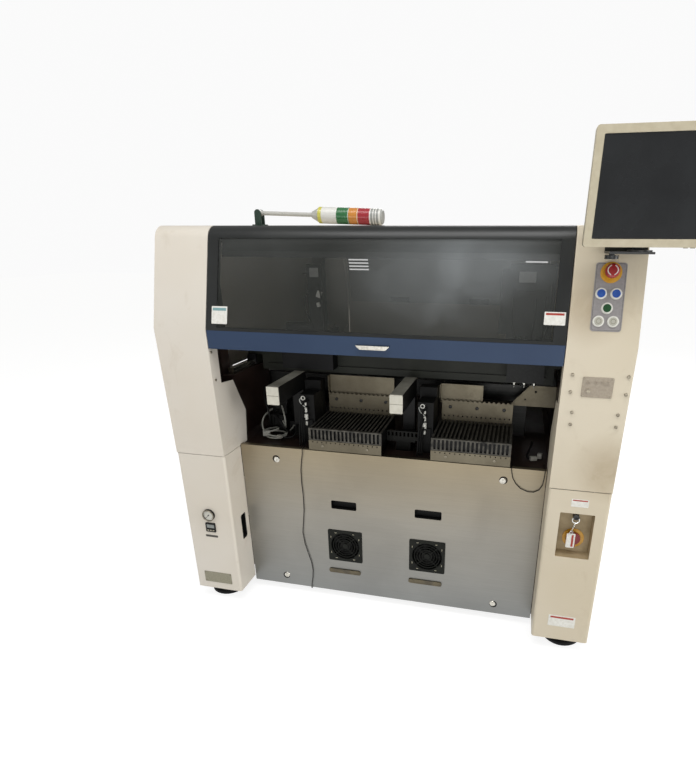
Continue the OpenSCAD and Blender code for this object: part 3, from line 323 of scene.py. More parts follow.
def eased(node, made, width=0.0015, body="cabinet"):
    """Stands for a CAD piece: its merged copy with the sharp edges eased, as bent sheet has."""
    piece = bpy.data.objects.new(node + "_eased", nodes[node].data.copy())
    bpy.context.scene.collection.objects.link(piece)
    picked(piece)
    mode("EDIT")
    bpy.ops.mesh.select_all(action="SELECT")
    bpy.ops.mesh.customdata_custom_splitnormals_clear()
    bpy.ops.mesh.remove_doubles(threshold=0.00002)
    bpy.ops.mesh.dissolve_limited(angle_limit=math.radians(0.6))
    mode("OBJECT")
    bevelled(piece, width, 38)
    finished(piece, node + "_eased", made, body)
    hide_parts(node)
    return piece


def faces(piece, test):
    """Opens a piece in edit mode with the faces that pass the test selected."""
    bpy.context.view_layer.objects.active = piece
    mode("EDIT")
    bpy.ops.mesh.select_mode(type="FACE")
    bpy.ops.mesh.select_all(action="DESELECT")
    mode("OBJECT")
    for face in piece.data.polygons:
        face.select = test(face)
    mode("EDIT")


def sunk(piece, test, *steps):
    """Insets the faces that pass the test, step by step: each step's margin and its depth."""
    faces(piece, test)
    for margin, depth in steps:
        bpy.ops.mesh.inset(thickness=margin, depth=depth)
    mode("OBJECT")
    return piece


def upper(face):
    """A piece's own upper face."""
    return face.normal.z > 0.99 and face.center.z > 0


def slab(size, place, turn=(0, 0, 0), corner=0.0, edge=0.0004):
    """A flat piece with its size in metres, round corners and eased edges, turned to its face."""
    bpy.ops.mesh.primitive_cube_add(size=1, location=place, rotation=turn)
    piece = bpy.context.object
    piece.scale = size
    bpy.ops.object.transform_apply(location=False, rotation=False, scale=True)
    if corner:
        mode("EDIT")
        bpy.ops.mesh.select_mode(type="EDGE")
        bpy.ops.mesh.select_all(action="DESELECT")
        mode("OBJECT")
        for line in piece.data.edges:
            a, b = (piece.data.vertices[k].co for k in line.vertices)
            line.select = (a.xy - b.xy).length < 1e-6
        mode("EDIT")
        bpy.ops.mesh.bevel(offset=corner, segments=5, affect="EDGES")
        mode("OBJECT")
    return bevelled(piece, edge)


def drum(across, high, place, turn=(0, 0, 0), edge=0.001, sides=32):
    """A turned round piece with eased rims, its axis along its own Z."""
    bpy.ops.mesh.primitive_cylinder_add(vertices=sides, radius=across / 2, depth=high, location=place,
                                        rotation=turn)
    piece = bpy.context.object
    return bevelled(piece, edge)


def ring(across, wire, place, turn):
    """A round wire bent to a closed ring: its section spun round the ring's middle."""
    bpy.ops.mesh.primitive_circle_add(vertices=10, radius=wire / 2, location=(across / 2, 0, 0),
                                      rotation=(math.pi / 2, 0, 0))
    piece = bpy.context.object
    bpy.ops.object.transform_apply(location=True, rotation=True)
    mode("EDIT")
    bpy.ops.mesh.select_all(action="SELECT")
    bpy.ops.mesh.spin(steps=36, angle=math.tau, center=(0, 0, 0), axis=(0, 0, 1))
    bpy.ops.mesh.select_all(action="SELECT")
    bpy.ops.mesh.remove_doubles(threshold=0.00001)
    bpy.ops.mesh.normals_make_consistent(inside=False)
    mode("OBJECT")
    piece.location, piece.rotation_euler = place, turn
    return piece


def joined(pieces):
    """Several pieces as one mesh."""
    picked(*pieces)
    bpy.ops.object.join()
    bpy.ops.object.select_all(action="DESELECT")
    return pieces[0]


def copies(model, places):
    """Copies of a modelled piece, each with its own mesh at its own place and turn, as one."""
    made = []
    for place, turn in places:
        copy = model.copy()
        copy.data = model.data.copy()
        bpy.context.scene.collection.objects.link(copy)
        copy.location, copy.rotation_euler = place, turn
        made.append(copy)
    bpy.data.objects.remove(model)
    return joined(made)


def pan_head(across, high):
    """A pan-head screw with a round socket, its head standing up from the origin."""
    bpy.ops.mesh.primitive_cylinder_add(vertices=24, radius=across / 2, depth=high + 0.001,
                                        location=(0, 0, high / 2 - 0.0005))
    head = bpy.context.object
    bpy.ops.object.transform_apply(location=True)
    bevelled(head, high * 0.42, 60, 3)
    return sunk(head, upper, (across * 0.16, 0), (across * 0.02, -high * 0.6))


lean = math.radians(16)
rise = math.atan2(13, 494)
lean_turn = (math.pi / 2 - lean, 0, 0)
front_turn = (math.pi / 2 + rise, 0, 0)
plumb_turn = (math.pi / 2, 0, 0)
behind = (-math.pi / 2, 0, 0)


def on_lean(x, up, out=0.0):
    """A place on the leaning face: across, up along the face from its lower edge, and off it."""
    return at(x, up * math.sin(lean) - out * math.cos(lean) - 13,
              1192 + up * math.cos(lean) + out * math.sin(lean))


def on_front(x, z, out=0.0):
    """A place on the upper covers' front face, between the seam and the leaning face."""
    return at(x, -(z - 698) * math.tan(rise) - out, z)


# Cream polyester powder coat on steel: satin, with an orange-peel skin that is drawn a little
# coarser than it is, so that it shows.
cream, tree, place = finish("Cream_powder_coat")
cloud = add(tree, "TexNoise", {"Vector": place, "Scale": 1.7, "Detail": 3.0, "Roughness": 0.55})
apart = add(tree, "SeparateXYZ", {"Vector": place})
side = add(tree, "MapRange", {"Value": apart, "From Min": left_low.x, "From Max": right_high.x})
cool = add(tree, "ValToRGB", {"Fac": cloud}, stops=[(0.3, "#DED8CF"), (0.7, "#D8D0C3")])
warm = add(tree, "ValToRGB", {"Fac": cloud}, stops=[(0.3, "#D2C8B3"), (0.7, "#C9BDA5")])
coat = add(tree, "MixRGB", {"Fac": side, "Color1": cool, "Color2": warm})
hands = add(tree, "TexNoise", {"Vector": place, "Scale": 6.5, "Detail": 7.0, "Roughness": 0.65,
                               "Distortion": 0.9})
rubbed = add(tree, "ValToRGB", {"Fac": hands}, stops=[(0.58, 0.0), (0.85, 0.34)])
marked = add(tree, "MixRGB", {"Fac": rubbed, "Color1": coat, "Color2": linear("#A08B69")})
# Hands have browned the leaning face beside the operator plate and the cover's lower corner.
soiled = marked
for spot in (on_lean(672, 120), on_front(800, 790)):
    near = add(tree, "Mapping", {"Vector": place, "Location": -spot * 7.5, "Scale": (7.5, 7.5, 7.5)})
    halo = add(tree, "TexGradient", {"Vector": near}, gradient_type="SPHERICAL")
    worn = add(tree, "Math", {0: halo, 1: hands}, operation="MULTIPLY")
    soiled = add(tree, "MixRGB", {"Fac": worn, "Color1": soiled, "Color2": linear("#8A7147")})
peel = add(tree, "TexNoise", {"Vector": place, "Scale": 150.0, "Detail": 2.0})
skin = add(tree, "Bump", {"Strength": 0.06, "Distance": 0.0006, "Height": peel})
gloss = add(tree, "MapRange", {"Value": hands, "To Min": 0.38, "To Max": 0.56})
shade(tree, Base_Color=soiled, Roughness=gloss, IOR=1.5, Normal=skin)
for name in ("left_lower_cover", "right_lower_cover", "left_upper_cover", "right_upper_cover",
             "left_side_cover", "right_side_cover", "roof_panel", "rear_panel"):
    eased(name, cream)

# Zinc-plated screws hold the upper covers, the service field, the cheeks and the rear panel.
screw_zinc = clouded("Zinc_plated_screw_steel", 300.0, 3.0, [(0.3, "#6E675A"), (0.7, "#A39C8C")],
                     gloss=(0.25, 0.5), Metallic=1.0)


def screws(name, across, high, places, made=screw_zinc):
    """Pan-head screws of one size at their places and turns, as one piece."""
    finished(copies(pan_head(across, high), places), name, made)


field = [(646, 1102), (646, 1046), (659, 978), (659, 937), (812, 1104), (812, 1047), (799, 979),
         (799, 938)]
screws("field_screws", 0.011, 0.0045, [(on_front(x, z), front_turn) for x, z in field])
screws("cheek_screws", 0.010, 0.004, [(at(-617, y, z), (0, math.pi / 2, 0)) for y, z in
                                      ((2, 1110), (10, 1005))])
low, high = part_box("rear_panel")
screws("rear_screws", 0.012, 0.004, [(Vector((x, high.y, z)), behind) for z in
                                     (low.z + 0.03, 0.38, 0.70, 1.0)
                                     for x in (low.x + 0.03, high.x - 0.03)])


def foil(name, pale, dark, gloss_level=0.38):
    """Screen-printed polyester foil in one colour: satin and faintly speckled."""
    return clouded(name, 130.0, 3.0, [(0.3, pale), (0.75, dark)], Roughness=gloss_level, IOR=1.5)


white_foil = foil("White_polyester_foil", "#E6E5DF", "#D3D1C8")
red_foil = foil("Red_polyester_foil", "#A83A2C", "#983326")
teal_foil = foil("Teal_polyester_foil", "#7FA3A6", "#729598")


def label(name, width, height, place, turn, band, body="cabinet"):
    """A bare foil label with a plain colour band along its upper edge."""
    sheet = slab((width, height, 0.0006), place, turn, corner=0.002, edge=0.0002)
    sheet.data.materials.append(white_foil)
    up = Matrix.Rotation(turn[0], 3, "X") @ Vector((0, height * 0.33, 0.0004))
    strip = slab((width * 0.86, height * 0.16, 0.0003), place + up, turn, edge=0.0001)
    strip.data.materials.append(band)
    finished(joined([sheet, strip]), name, body=body)


label("bare_label_upper", 0.058, 0.030, at(726, -0.4, 652), plumb_turn, red_foil)
label("bare_label_lower", 0.098, 0.050, at(721, -0.4, 147), plumb_turn, red_foil)

# The rating plate is etched aluminium. It is bare, with a raised rim and four rivets.
etched = clouded("Etched_aluminium_plate", 190.0, 3.0, [(0.3, "#94907E"), (0.75, "#817D6B")],
                 Metallic=0.5, Roughness=0.42)
rating = slab((0.128, 0.053, 0.001), at(-722, -0.5, 118), plumb_turn, corner=0.003, edge=0.0003)
finished(sunk(rating, upper, (0.0018, 0), (0.0004, -0.0004)), "bare_rating_plate", etched)
screws("plate_rivets", 0.005, 0.0018, [(at(-722 + x, -1, 118 + z), plumb_turn) for x in (-59, 59)
                                       for z in (-22, 22)])

# ---- front panel ----
# Stainless sheet, 3 mm, brushed from side to side and never painted, held by quarter-turn
# locks. Hands and a damp cloth have left it duller in places.

# Brushed stainless steel: long fine lines across, and a painted reflection that draws it warm
# above and cooler and darker towards the floor.
stainless, tree, place = finish("Brushed_stainless_sheet")
stretch = add(tree, "Mapping", {"Vector": place, "Scale": (5.0, 5.0, 420.0)})
brush = add(tree, "TexNoise", {"Vector": stretch, "Scale": 1.0, "Detail": 6.0, "Roughness": 0.7})
apart = add(tree, "SeparateXYZ", {"Vector": place})
rising = add(tree, "MapRange", {"Value": apart.outputs["Z"], "From Min": 0.05, "From Max": 0.7})
painted_reflection_tone = add(tree, "ValToRGB", {"Fac": rising}, stops=[(0.0, "#90918F"), (0.55, "#9E9A91"),
                                                         (1.0, "#A0947D")])
streak = add(tree, "ValToRGB", {"Fac": brush}, stops=[(0.25, 0.88), (0.75, 1.0)])
cloud = add(tree, "TexNoise", {"Vector": place, "Scale": 3.0, "Detail": 5.0, "Distortion": 0.6})
patchy = add(tree, "ValToRGB", {"Fac": cloud}, stops=[(0.35, 0.86), (0.65, 1.0)])
metal = add(tree, "MixRGB", {"Fac": 1.0, "Color1": painted_reflection_tone, "Color2": streak},
            blend_type="MULTIPLY")
metal = add(tree, "MixRGB", {"Fac": 1.0, "Color1": metal, "Color2": patchy}, blend_type="MULTIPLY")
dull = add(tree, "MapRange", {"Value": cloud, "From Min": 0.3, "From Max": 0.7, "To Min": 0.36,
                              "To Max": 0.5})
lines = add(tree, "Bump", {"Strength": 0.05, "Distance": 0.0003, "Height": brush})
shade(tree, Base_Color=metal, Metallic=1.0, Roughness=dull, Anisotropic=0.5, Normal=lines)
eased("front_panel", stainless, 0.0008)

# Rubber seals close the gaps between the panel's side edges and the columns.
low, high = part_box("front_panel")
seals = [slab((0.012, 0.006, high.z - low.z - 0.01), Vector((x, high.y + 0.004, (low.z + high.z) / 2)),
              edge=0.0015) for x in (low.x, high.x)]
finished(joined(seals), "panel_seals", rubber)

# Nickel plate, bright, dulled where fingers and tools touch it.
nickel = clouded("Nickel_plate", 90.0, 4.0, [(0.35, "#D8D5CC"), (0.7, "#B3AFA4")],
                 gloss=(0.14, 0.32), Metallic=1.0)
dress(nickel, "y_guides")
dress(screw_zinc, "key_switch")
eased("panel_locks", nickel, 0.0006)

# An O-ring of rubber lies round each lock.
low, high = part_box("panel_locks")
rims = [(Vector((x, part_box("front_panel")[0].y, z)), plumb_turn)
        for x in (low.x + 0.010, high.x - 0.010) for z in (low.z + 0.010, high.z - 0.010)]
finished(copies(ring(0.026, 0.0050, (0, 0, 0), (0, 0, 0)), rims), "lock_o_rings", rubber)

# Black ABS, moulded with a fine spark-eroded grain, nearly matt.
abs_black = clouded("Black_moulded_ABS", 260.0, 2.0, [(0.2, "#080808"), (0.8, "#121211")],
                    skin=(0.2, 0.0004), Roughness=0.55, Specular_IOR_Level=0.2)
dress(abs_black, "grip_cups", "fan_rotor_left", "fan_rotor_right", "connector_boxes", "air_hoses")

# Each fan sits behind a square guard with a moulded ring grille, before a foam filter; cream
# clips hold the filter.
guard, tree, place = finish("Dusty_black_fan_guard")
dust = add(tree, "TexNoise", {"Vector": place, "Scale": 45.0, "Detail": 5.0})
facing = add(tree, "SeparateXYZ", {"Vector": add(tree, "NewGeometry").outputs["Normal"]})
front = add(tree, "Math", {0: facing.outputs["Y"], 1: -0.5}, operation="LESS_THAN")
lying = add(tree, "Math", {0: front, 1: dust}, operation="MULTIPLY")
tone = add(tree, "ValToRGB", {"Fac": lying}, stops=[(0.25, "#090A08"), (0.75, "#1C1E18")])
shade(tree, Base_Color=tone, Roughness=0.66, Specular_IOR_Level=0.2)
dress(guard, "fan_housings")
foam, tree, place = finish("Open_cell_filter_foam")
cells = add(tree, "TexVoronoi", {"Vector": place, "Scale": 260.0})
tone = add(tree, "ValToRGB", {"Fac": cells}, stops=[(0.1, "#0A0A0A"), (0.7, "#1F1F1D")])
pores = add(tree, "Bump", {"Strength": 0.6, "Distance": 0.001, "Height": cells})
shade(tree, Base_Color=tone, Roughness=0.9, Normal=pores)
back_of_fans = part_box("fan_housings")[1].y
clip_cream = foil("Cream_nylon_clip", "#B9B39E", "#A39D88", 0.5)
clips, pads = [], []
for x in (-177, 177):
    pad = slab((0.150, 0.150, 0.006), (at(x, 0, 0).x, back_of_fans + 0.003, 0.274), plumb_turn,
               corner=0.004, edge=0.001)
    pads.append(sunk(pad, upper, (0.004, -0.001)))
    for a, b, wide in ((-62, 40, 2), (-62, -36, 2), (62, 40, 2), (62, -36, 2), (-40, 62, 9),
                       (38, 62, 9), (-40, -62, 9), (38, -62, 9)):
        clips.append(slab((wide / 1000, (11 - wide) / 1000, 0.0012), at(x + a, 125.2, 274 + b),
                          plumb_turn, edge=0.0003))
finished(joined(clips), "filter_clips", clip_cream)
finished(joined(pads), "filter_pads", foam)

# Below each fan a short pressed strip of bare steel sheds water; it has dulled to a warm brown.
aged = clouded("Aged_pressed_steel", 30.0, 5.0, [(0.3, "#6E6550"), (0.7, "#544E43")],
               Metallic=0.7, Roughness=0.45)
strips = [sunk(slab((0.142, 0.022, 0.004), at(x, 126, 145), (math.pi / 2 + 0.12, 0, 0), corner=0.008,
                    edge=0.0012), upper, (0.003, 0), (0.001, -0.0008)) for x in (-183, 171)]
finished(joined(strips), "drip_strips", aged)

# ---- feeder banks ----
# Black anodised base plates with milled grooves and a comb, zinc-plated sheet before and
# behind them, supply channels on rear legs with cream caps, and black connector boxes.

# Black anodised aluminium: worn to bare grey along the comb's teeth and the guide bars.
anodised, tree, place = finish("Black_anodised_aluminium")
scuff = add(tree, "TexNoise", {"Vector": place, "Scale": 40.0, "Detail": 5.0})
apart = add(tree, "SeparateXYZ", {"Vector": place})
low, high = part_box("feeder_bases")
outer = add(tree, "Math", {0: apart.outputs["Y"], 1: low.y + 0.0006}, operation="LESS_THAN")
top = add(tree, "Math", {0: apart.outputs["Z"], 1: high.z - 0.0006}, operation="GREATER_THAN")
rub = add(tree, "Math", {0: add(tree, "Math", {0: outer, 1: 0.5}, operation="MULTIPLY"),
                         1: add(tree, "Math", {0: top, 1: 0.32}, operation="MULTIPLY")},
          operation="MAXIMUM")
patchy = add(tree, "MapRange", {"Value": scuff, "From Min": 0.25, "From Max": 0.6})
amount = add(tree, "Math", {0: rub, 1: patchy}, operation="MULTIPLY")
tone = add(tree, "MixRGB", {"Fac": amount, "Color1": linear("#0D0D0C"),
                            "Color2": linear("#77736A")})
shade(tree, Base_Color=tone, Metallic=0.2, Roughness=0.5, Specular_IOR_Level=0.3)
dress(anodised, "feeder_bases")

# Zinc-plated steel sheet, aged: yellowish grey, clouded and slightly oily.
zinc, tree, place = finish("Zinc_plated_sheet")
cloud = add(tree, "TexNoise", {"Vector": place, "Scale": 7.0, "Detail": 5.0})
plated = add(tree, "ValToRGB", {"Fac": cloud}, stops=[(0.3, "#5F5849"), (0.72, "#787160")])
# The small comb that bridges the two banks is drawn near black.
apart = add(tree, "SeparateXYZ", {"Vector": place})
bridge = add(tree, "Math", {0: apart, 1: at(52, 0, 0).x, 2: 0.067}, operation="COMPARE")
tone = add(tree, "MixRGB", {"Fac": bridge, "Color1": plated, "Color2": linear("#11110F")})
spangle = add(tree, "TexVoronoi", {"Vector": place, "Scale": 110.0})
gloss = add(tree, "MapRange", {"Value": spangle, "To Min": 0.36, "To Max": 0.52})
shade(tree, Base_Color=tone, Metallic=0.75, Roughness=gloss)
dress(zinc, "feeder_plates")

# The supply channels are bare zinc on top; their sides and legs are drawn near black as painted shade.
channel, tree, place = finish("Zinc_top_painted_shade_sides")
facing = add(tree, "SeparateXYZ", {"Vector": add(tree, "NewGeometry").outputs["Normal"]})
top = add(tree, "Math", {0: facing.outputs["Z"], 1: 0.5}, operation="GREATER_THAN")
cloud = add(tree, "TexNoise", {"Vector": place, "Scale": 14.0, "Detail": 5.0})
bare = add(tree, "ValToRGB", {"Fac": cloud}, stops=[(0.3, "#77756B"), (0.72, "#A19F94")])
shaded_sides_tone = add(tree, "ValToRGB", {"Fac": cloud}, stops=[(0.3, "#080808"), (0.8, "#121110")])
tone = add(tree, "MixRGB", {"Fac": top, "Color1": shaded_sides_tone, "Color2": bare})
shade(tree, Base_Color=tone, Roughness=0.5, Specular_IOR_Level=0.25)
dress(channel, "supply_beams")


def moulded(name, dark, pale, gloss_level=0.26):
    """Injection-moulded plastic in one colour: glossy, with faint flow marks."""
    return clouded(name, 55.0, 3.0, [(0.3, dark), (0.7, pale)], skin=(0.05, 0.0004),
                   Roughness=gloss_level, IOR=1.55)


cap_cream = moulded("Cream_moulded_ABS", "#CBC7B9", "#D6D3C6", 0.45)
eased("beam_end_caps", cap_cream, 0.0015)
low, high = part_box("beam_end_caps")
seams = [slab((0.047, 0.0014, 0.0006), Vector((x, low.y, (low.z + high.z) / 2)), plumb_turn,
              edge=0.0002) for x in (low.x + 0.024, high.x - 0.024)]
finished(joined(seams), "cap_seams", aged)

# Screws through the front angles and socket bolts in the back plates.
bolt_black = moulded("Black_oxide_steel", "#0E0E0D", "#1B1A18", 0.35)
angle_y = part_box("feeder_bases")[0].y - 0.003
places = [((at(x + dx, 0, 0).x, angle_y, 0.727), plumb_turn) for x in (-164, 330) for dx in (-92, 92)]
screws("angle_screws", 0.011, 0.004, places)
places = [(at(x + dx, 368, 853), plumb_turn) for x in (-164, 330) for dx in (-109, 0, 109)]
screws("back_plate_bolts", 0.0135, 0.005, places, bolt_black)

# White push-in fittings hang in a chain before each connector box, with a thin clear tube.
white_plastic = moulded("White_polycarbonate", "#D5D4CB", "#E6E5DE")
fittings = []
for x in (-350, 142):
    for z, wide, tall in ((872, 0.008, 0.012), (846, 0.010, 0.018), (818, 0.015, 0.024),
                          (790, 0.009, 0.016)):
        fittings.append(sunk(drum(wide, tall, at(x, 208, z), edge=0.0015, sides=20), upper,
                             (wide * 0.14, 0), (0.0002, -0.004)))
    fittings.append(ring(0.015, 0.0040, at(x - 10, 208, 896), plumb_turn))
finished(joined(fittings), "push_in_fittings", white_plastic)


def tube(name, routes, thick, made, body="cabinet"):
    """Short fixed tubes that run smoothly through their points, as one mesh."""
    parts = []
    for route in routes:
        part, spline = line(name, route, thick, "NURBS", 2)
        spline.use_endpoint_u = True
        spline.order_u = 3
        picked(part)
        bpy.ops.object.convert(target="MESH")
        parts.append(bpy.context.object)
    return finished(joined(parts), name, made, body)


clear_tube = moulded("Clear_polyurethane_tube", "#A9ABA6", "#C4C6C0", 0.3)
tube("clear_air_tubes", [
    [(x - 22, 222, 886), (x - 26, 206, 896), (x - 20, 200, 880), (x - 12, 203, 868),
     (x - 4, 206, 862), (x, 208, 856)] for x in (-350, 142)], 0.004, clear_tube)

# The open bay left of the banks holds a black valve block, its reel and loops of hose.
block = slab((0.070, 0.060, 0.088), at(-520, 330, 741), edge=0.003)
sunk(block, lambda face: abs(face.normal.y) > 0.99, (0.010, 0), (0.002, -0.004))
stem = slab((0.110, 0.030, 0.150), at(-530, 400, 775), edge=0.003)
sunk(stem, lambda face: abs(face.normal.y) > 0.99, (0.012, -0.003))
reel = drum(0.072, 0.055, at(-505, 318, 850), plumb_turn, edge=0.003, sides=40)
sunk(reel, lambda face: abs(face.normal.z) > 0.99, (0.012, -0.004), (0.010, 0.006))
bracket = slab((0.034, 0.030, 0.120), at(-505, 335, 790), edge=0.002)
plug = slab((0.050, 0.050, 0.055), at(-455, 345, 724), edge=0.003)
sunk(plug, upper, (0.008, -0.003))
finished(joined([block, stem, reel, bracket, plug]), "bay_valve_block",
         abs_black)
grey_hose = moulded("Grey_polyurethane_hose", "#7F7F78", "#96968E", 0.35)
loop = [(math.cos(a * math.pi / 6), math.sin(a * math.pi / 6)) for a in range(13)]
tube("bay_grey_hoses", [
    [(-512 + 46 * c, 250 + 34 * s, 712 + 5 * s) for c, s in loop],
    [(-540 + 34 * c, 262 + 26 * s, 728 + 7 * c) for c, s in loop],
    [(-560, 330, 800), (-575, 290, 790), (-578, 255, 760), (-560, 232, 730), (-530, 222, 716),
     (-495, 226, 712), (-470, 250, 714), (-462, 300, 722), (-458, 322, 735)],
    [(-500, 300, 830), (-480, 270, 815), (-470, 262, 780), (-474, 268, 745), (-482, 290, 728),
     (-500, 300, 760)]], 0.007, grey_hose)
tube("bay_black_hoses", [
    [(-585, 330, 900), (-580, 300, 880), (-560, 270, 850), (-540, 262, 800), (-545, 270, 760),
     (-560, 300, 730), (-575, 330, 705)],
    [(-440, 330, 760), (-430, 290, 750), (-424, 262, 726), (-430, 240, 712), (-452, 230, 708),
     (-480, 232, 706)],
    [(-525, 300, 780), (-505, 262, 790), (-480, 250, 760), (-466, 262, 722), (-440, 300, 706)],
    [(560, 330, 740), (556, 300, 736), (548, 270, 722), (540, 250, 708), (552, 236, 704),
     (576, 240, 704), (590, 262, 706)]], 0.009, abs_black)
bits = [slab((0.030, 0.018, 0.022), at(-548, 232, 722), (0, 0, 0.5), edge=0.002),
        slab((0.022, 0.014, 0.014), at(-484, 224, 714), (0, 0, -0.4), edge=0.002),
        slab((0.040, 0.004, 0.050), at(-548, 372, 830), (0.2, 0, 0.2), edge=0.001),
        slab((0.026, 0.016, 0.016), at(566, 226, 712), (0, 0, 0.3), edge=0.002),
        slab((0.018, 0.018, 0.020), at(590, 250, 715), (0, 0, -0.2), edge=0.002)]
for bit in bits:
    sunk(bit, upper, (0.0016, 0), (0.0004, -0.002))
connector_nylon = foil("Grey_nylon_connector", "#8B8982", "#A19F96", 0.45)
finished(joined(bits), "bay_connectors", connector_nylon)

# ---- conveyor, gantry and head ----
# Two black anodised rails carry the boards from side to side. The gantry is a welded box
# under grey-green enamel, and the head, its drive and its covers are black.

conveyor, tree, place = finish("Hard_anodised_rail")
draw = add(tree, "Mapping", {"Vector": place, "Scale": (3.0, 200.0, 200.0)})
lines = add(tree, "TexNoise", {"Vector": draw, "Scale": 1.0, "Detail": 4.0})
tone = add(tree, "ValToRGB", {"Fac": lines}, stops=[(0.3, "#232322"), (0.7, "#343432")])
shade(tree, Base_Color=tone, Metallic=0.6, Roughness=0.42)
dress(conveyor, "conveyor_fixed_rail", "conveyor_moving_rail")

ground = clouded("Ground_tool_steel", 200.0, 3.0, [(0.3, "#A9A8A2"), (0.7, "#C6C5BF")],
                 Metallic=1.0, Roughness=0.25)
dress(ground, "spindle_1", "spindle_2", "spindle_3")

# Grey-green machine enamel on the welded beam, with the drive unit on it left black.
beam_paint, tree, place = finish("Grey_green_machine_enamel")
patch = add(tree, "TexNoise", {"Vector": place, "Scale": 9.0, "Detail": 5.0})
green = add(tree, "ValToRGB", {"Fac": patch}, stops=[(0.3, "#1C1E18"), (0.7, "#2A2C25")])
apart = add(tree, "SeparateXYZ", {"Vector": place})
proud = add(tree, "Math", {0: apart.outputs["Y"], 1: at(0, 391, 0).y}, operation="LESS_THAN")
left = add(tree, "Math", {0: apart, 1: at(-260, 0, 0).x}, operation="LESS_THAN")
drive = add(tree, "Math", {0: proud, 1: left}, operation="MULTIPLY")
tone = add(tree, "MixRGB", {"Fac": drive, "Color1": green, "Color2": linear("#0B0B0D")})
shade(tree, Base_Color=tone, Roughness=0.5, Specular_IOR_Level=0.25)
dress(beam_paint, "gantry_beam")

cover_black = clouded("Black_textured_paint", 120.0, 3.0, [(0.3, "#0A0B0B"), (0.75, "#171918")],
                      skin=(0.3, 0.0005), Roughness=0.5, Specular_IOR_Level=0.25)
eased("head_unit", cover_black, 0.002, "head")
finished(slab((0.060, 0.037, 0.0012), at(486, 307.2, 1371), plumb_turn, corner=0.002),
         "head_bare_plate", foil("Grey_name_foil", "#9A9B98", "#858683"), "head")
tube("head_cables", [
    [(444, 298, 1330), (438, 292, 1280), (440, 294, 1220), (452, 298, 1170), (462, 300, 1140)],
    [(570, 298, 1350), (578, 292, 1290), (574, 294, 1220), (560, 300, 1160), (552, 302, 1130)],
    [(520, 288, 1300), (524, 284, 1260), (520, 286, 1200), (512, 290, 1150)]], 0.007, cover_black,
     "head")

post = sunk(slab((0.064, 0.040, 0.284), at(-338, 366, 1259), edge=0.003),
            lambda face: face.normal.y < -0.99, (0.008, -0.002))
finished(post, "drive_post", cover_black, "gantry")
finished(slab((0.037, 0.035, 0.0012), at(-338, 346.6, 1372), plumb_turn, corner=0.002),
         "post_bare_plate", foil("Pale_name_foil", "#A9AAA7", "#979894"), "gantry")
tube("post_cables", [
    [(-322, 344, 1330), (-309, 332, 1300), (-305, 330, 1250), (-310, 336, 1200), (-322, 346, 1160)],
    [(-350, 344, 1310), (-372, 330, 1290), (-380, 330, 1240), (-366, 340, 1190), (-352, 350, 1150)]],
     0.006, cover_black, "gantry")
finished(joined([slab((0.020, 0.012, 0.026), at(-318, 340, 1290), (0, 0.4, 0), edge=0.002),
                 slab((0.014, 0.010, 0.018), at(-322, 340, 1250), (0, -0.3, 0), edge=0.002)]),
         "post_connectors", white_plastic, "gantry")

# ---- front hood ----
# A black frame with a rolled crown holds a smoked acrylic window over a blue band. The boat-
# shaped handle is nickel plated. Both window labels are bare foil.

black_coat = clouded("Satin_black_powder_coat", 5.0, 5.0, [(0.3, "#131515"), (0.75, "#202221")],
                     gloss=(0.3, 0.44), IOR=1.5)
dress(black_coat, "monitor_bracket", "monitor_arm")
eased("hood_frame", black_coat, 0.002, "front_hood")

# Acrylic sheet, 5 mm, dyed smoke grey. A painted reflection lightens it, most in one broad patch
# right of the middle and a fainter one at the upper left, broken up by noise.
acrylic, tree, place = finish("Smoked_acrylic_sheet")
halo = 0.0
for spot, strength in ((on_lean(250, 240), 1.0), (on_lean(-500, 400), 0.42)):
    near = add(tree, "Mapping", {"Vector": place, "Scale": (2.1, 2.0, 3.6),
                                 "Location": (-spot.x * 2.1, -spot.y * 2.0, -spot.z * 3.6)})
    patch = add(tree, "TexGradient", {"Vector": near}, gradient_type="SPHERICAL")
    faded = add(tree, "Math", {0: patch, 1: strength}, operation="MULTIPLY")
    halo = add(tree, "Math", {0: faded, 1: halo}, operation="MAXIMUM")
reflection_breakup = add(tree, "TexNoise", {"Vector": place, "Scale": 3.4, "Detail": 5.0, "Distortion": 1.0})
uneven = add(tree, "MapRange", {"Value": reflection_breakup, "From Min": 0.25, "From Max": 0.75,
                                "To Min": 0.6, "To Max": 1.3})
painted_reflection_mask = add(tree, "Math", {0: halo, 1: uneven}, operation="MULTIPLY")
tone = add(tree, "ValToRGB", {"Fac": painted_reflection_mask}, stops=[(0.0, "#3D3F3C"), (0.3, "#595B59"),
                                                    (0.9, "#A2A7A9")])
shade(tree, Base_Color=tone, Roughness=0.08, IOR=1.49, Alpha=0.3)
dress(acrylic, "hood_window")

blue, tree, place = finish("Blue_powder_coat")
cloud = add(tree, "TexNoise", {"Vector": place, "Scale": 3.5, "Detail": 4.0})
tone = add(tree, "ValToRGB", {"Fac": cloud}, stops=[(0.3, "#273853"), (0.75, "#2E405B")])
peel = add(tree, "TexNoise", {"Vector": place, "Scale": 150.0, "Detail": 2.0})
skin = add(tree, "Bump", {"Strength": 0.06, "Distance": 0.0006, "Height": peel})
shade(tree, Base_Color=tone, Roughness=0.5, Specular_IOR_Level=0.3, Normal=skin)
eased("hood_band", blue, 0.0012, "front_hood")
eased("hood_handle", nickel, 0.0015, "front_hood")
label("window_label_left", 0.060, 0.061, on_lean(-563, 54, 0.5), lean_turn, teal_foil, "front_hood")
label("window_label_right", 0.064, 0.040, on_lean(575, 80, 0.5), lean_turn, red_foil, "front_hood")
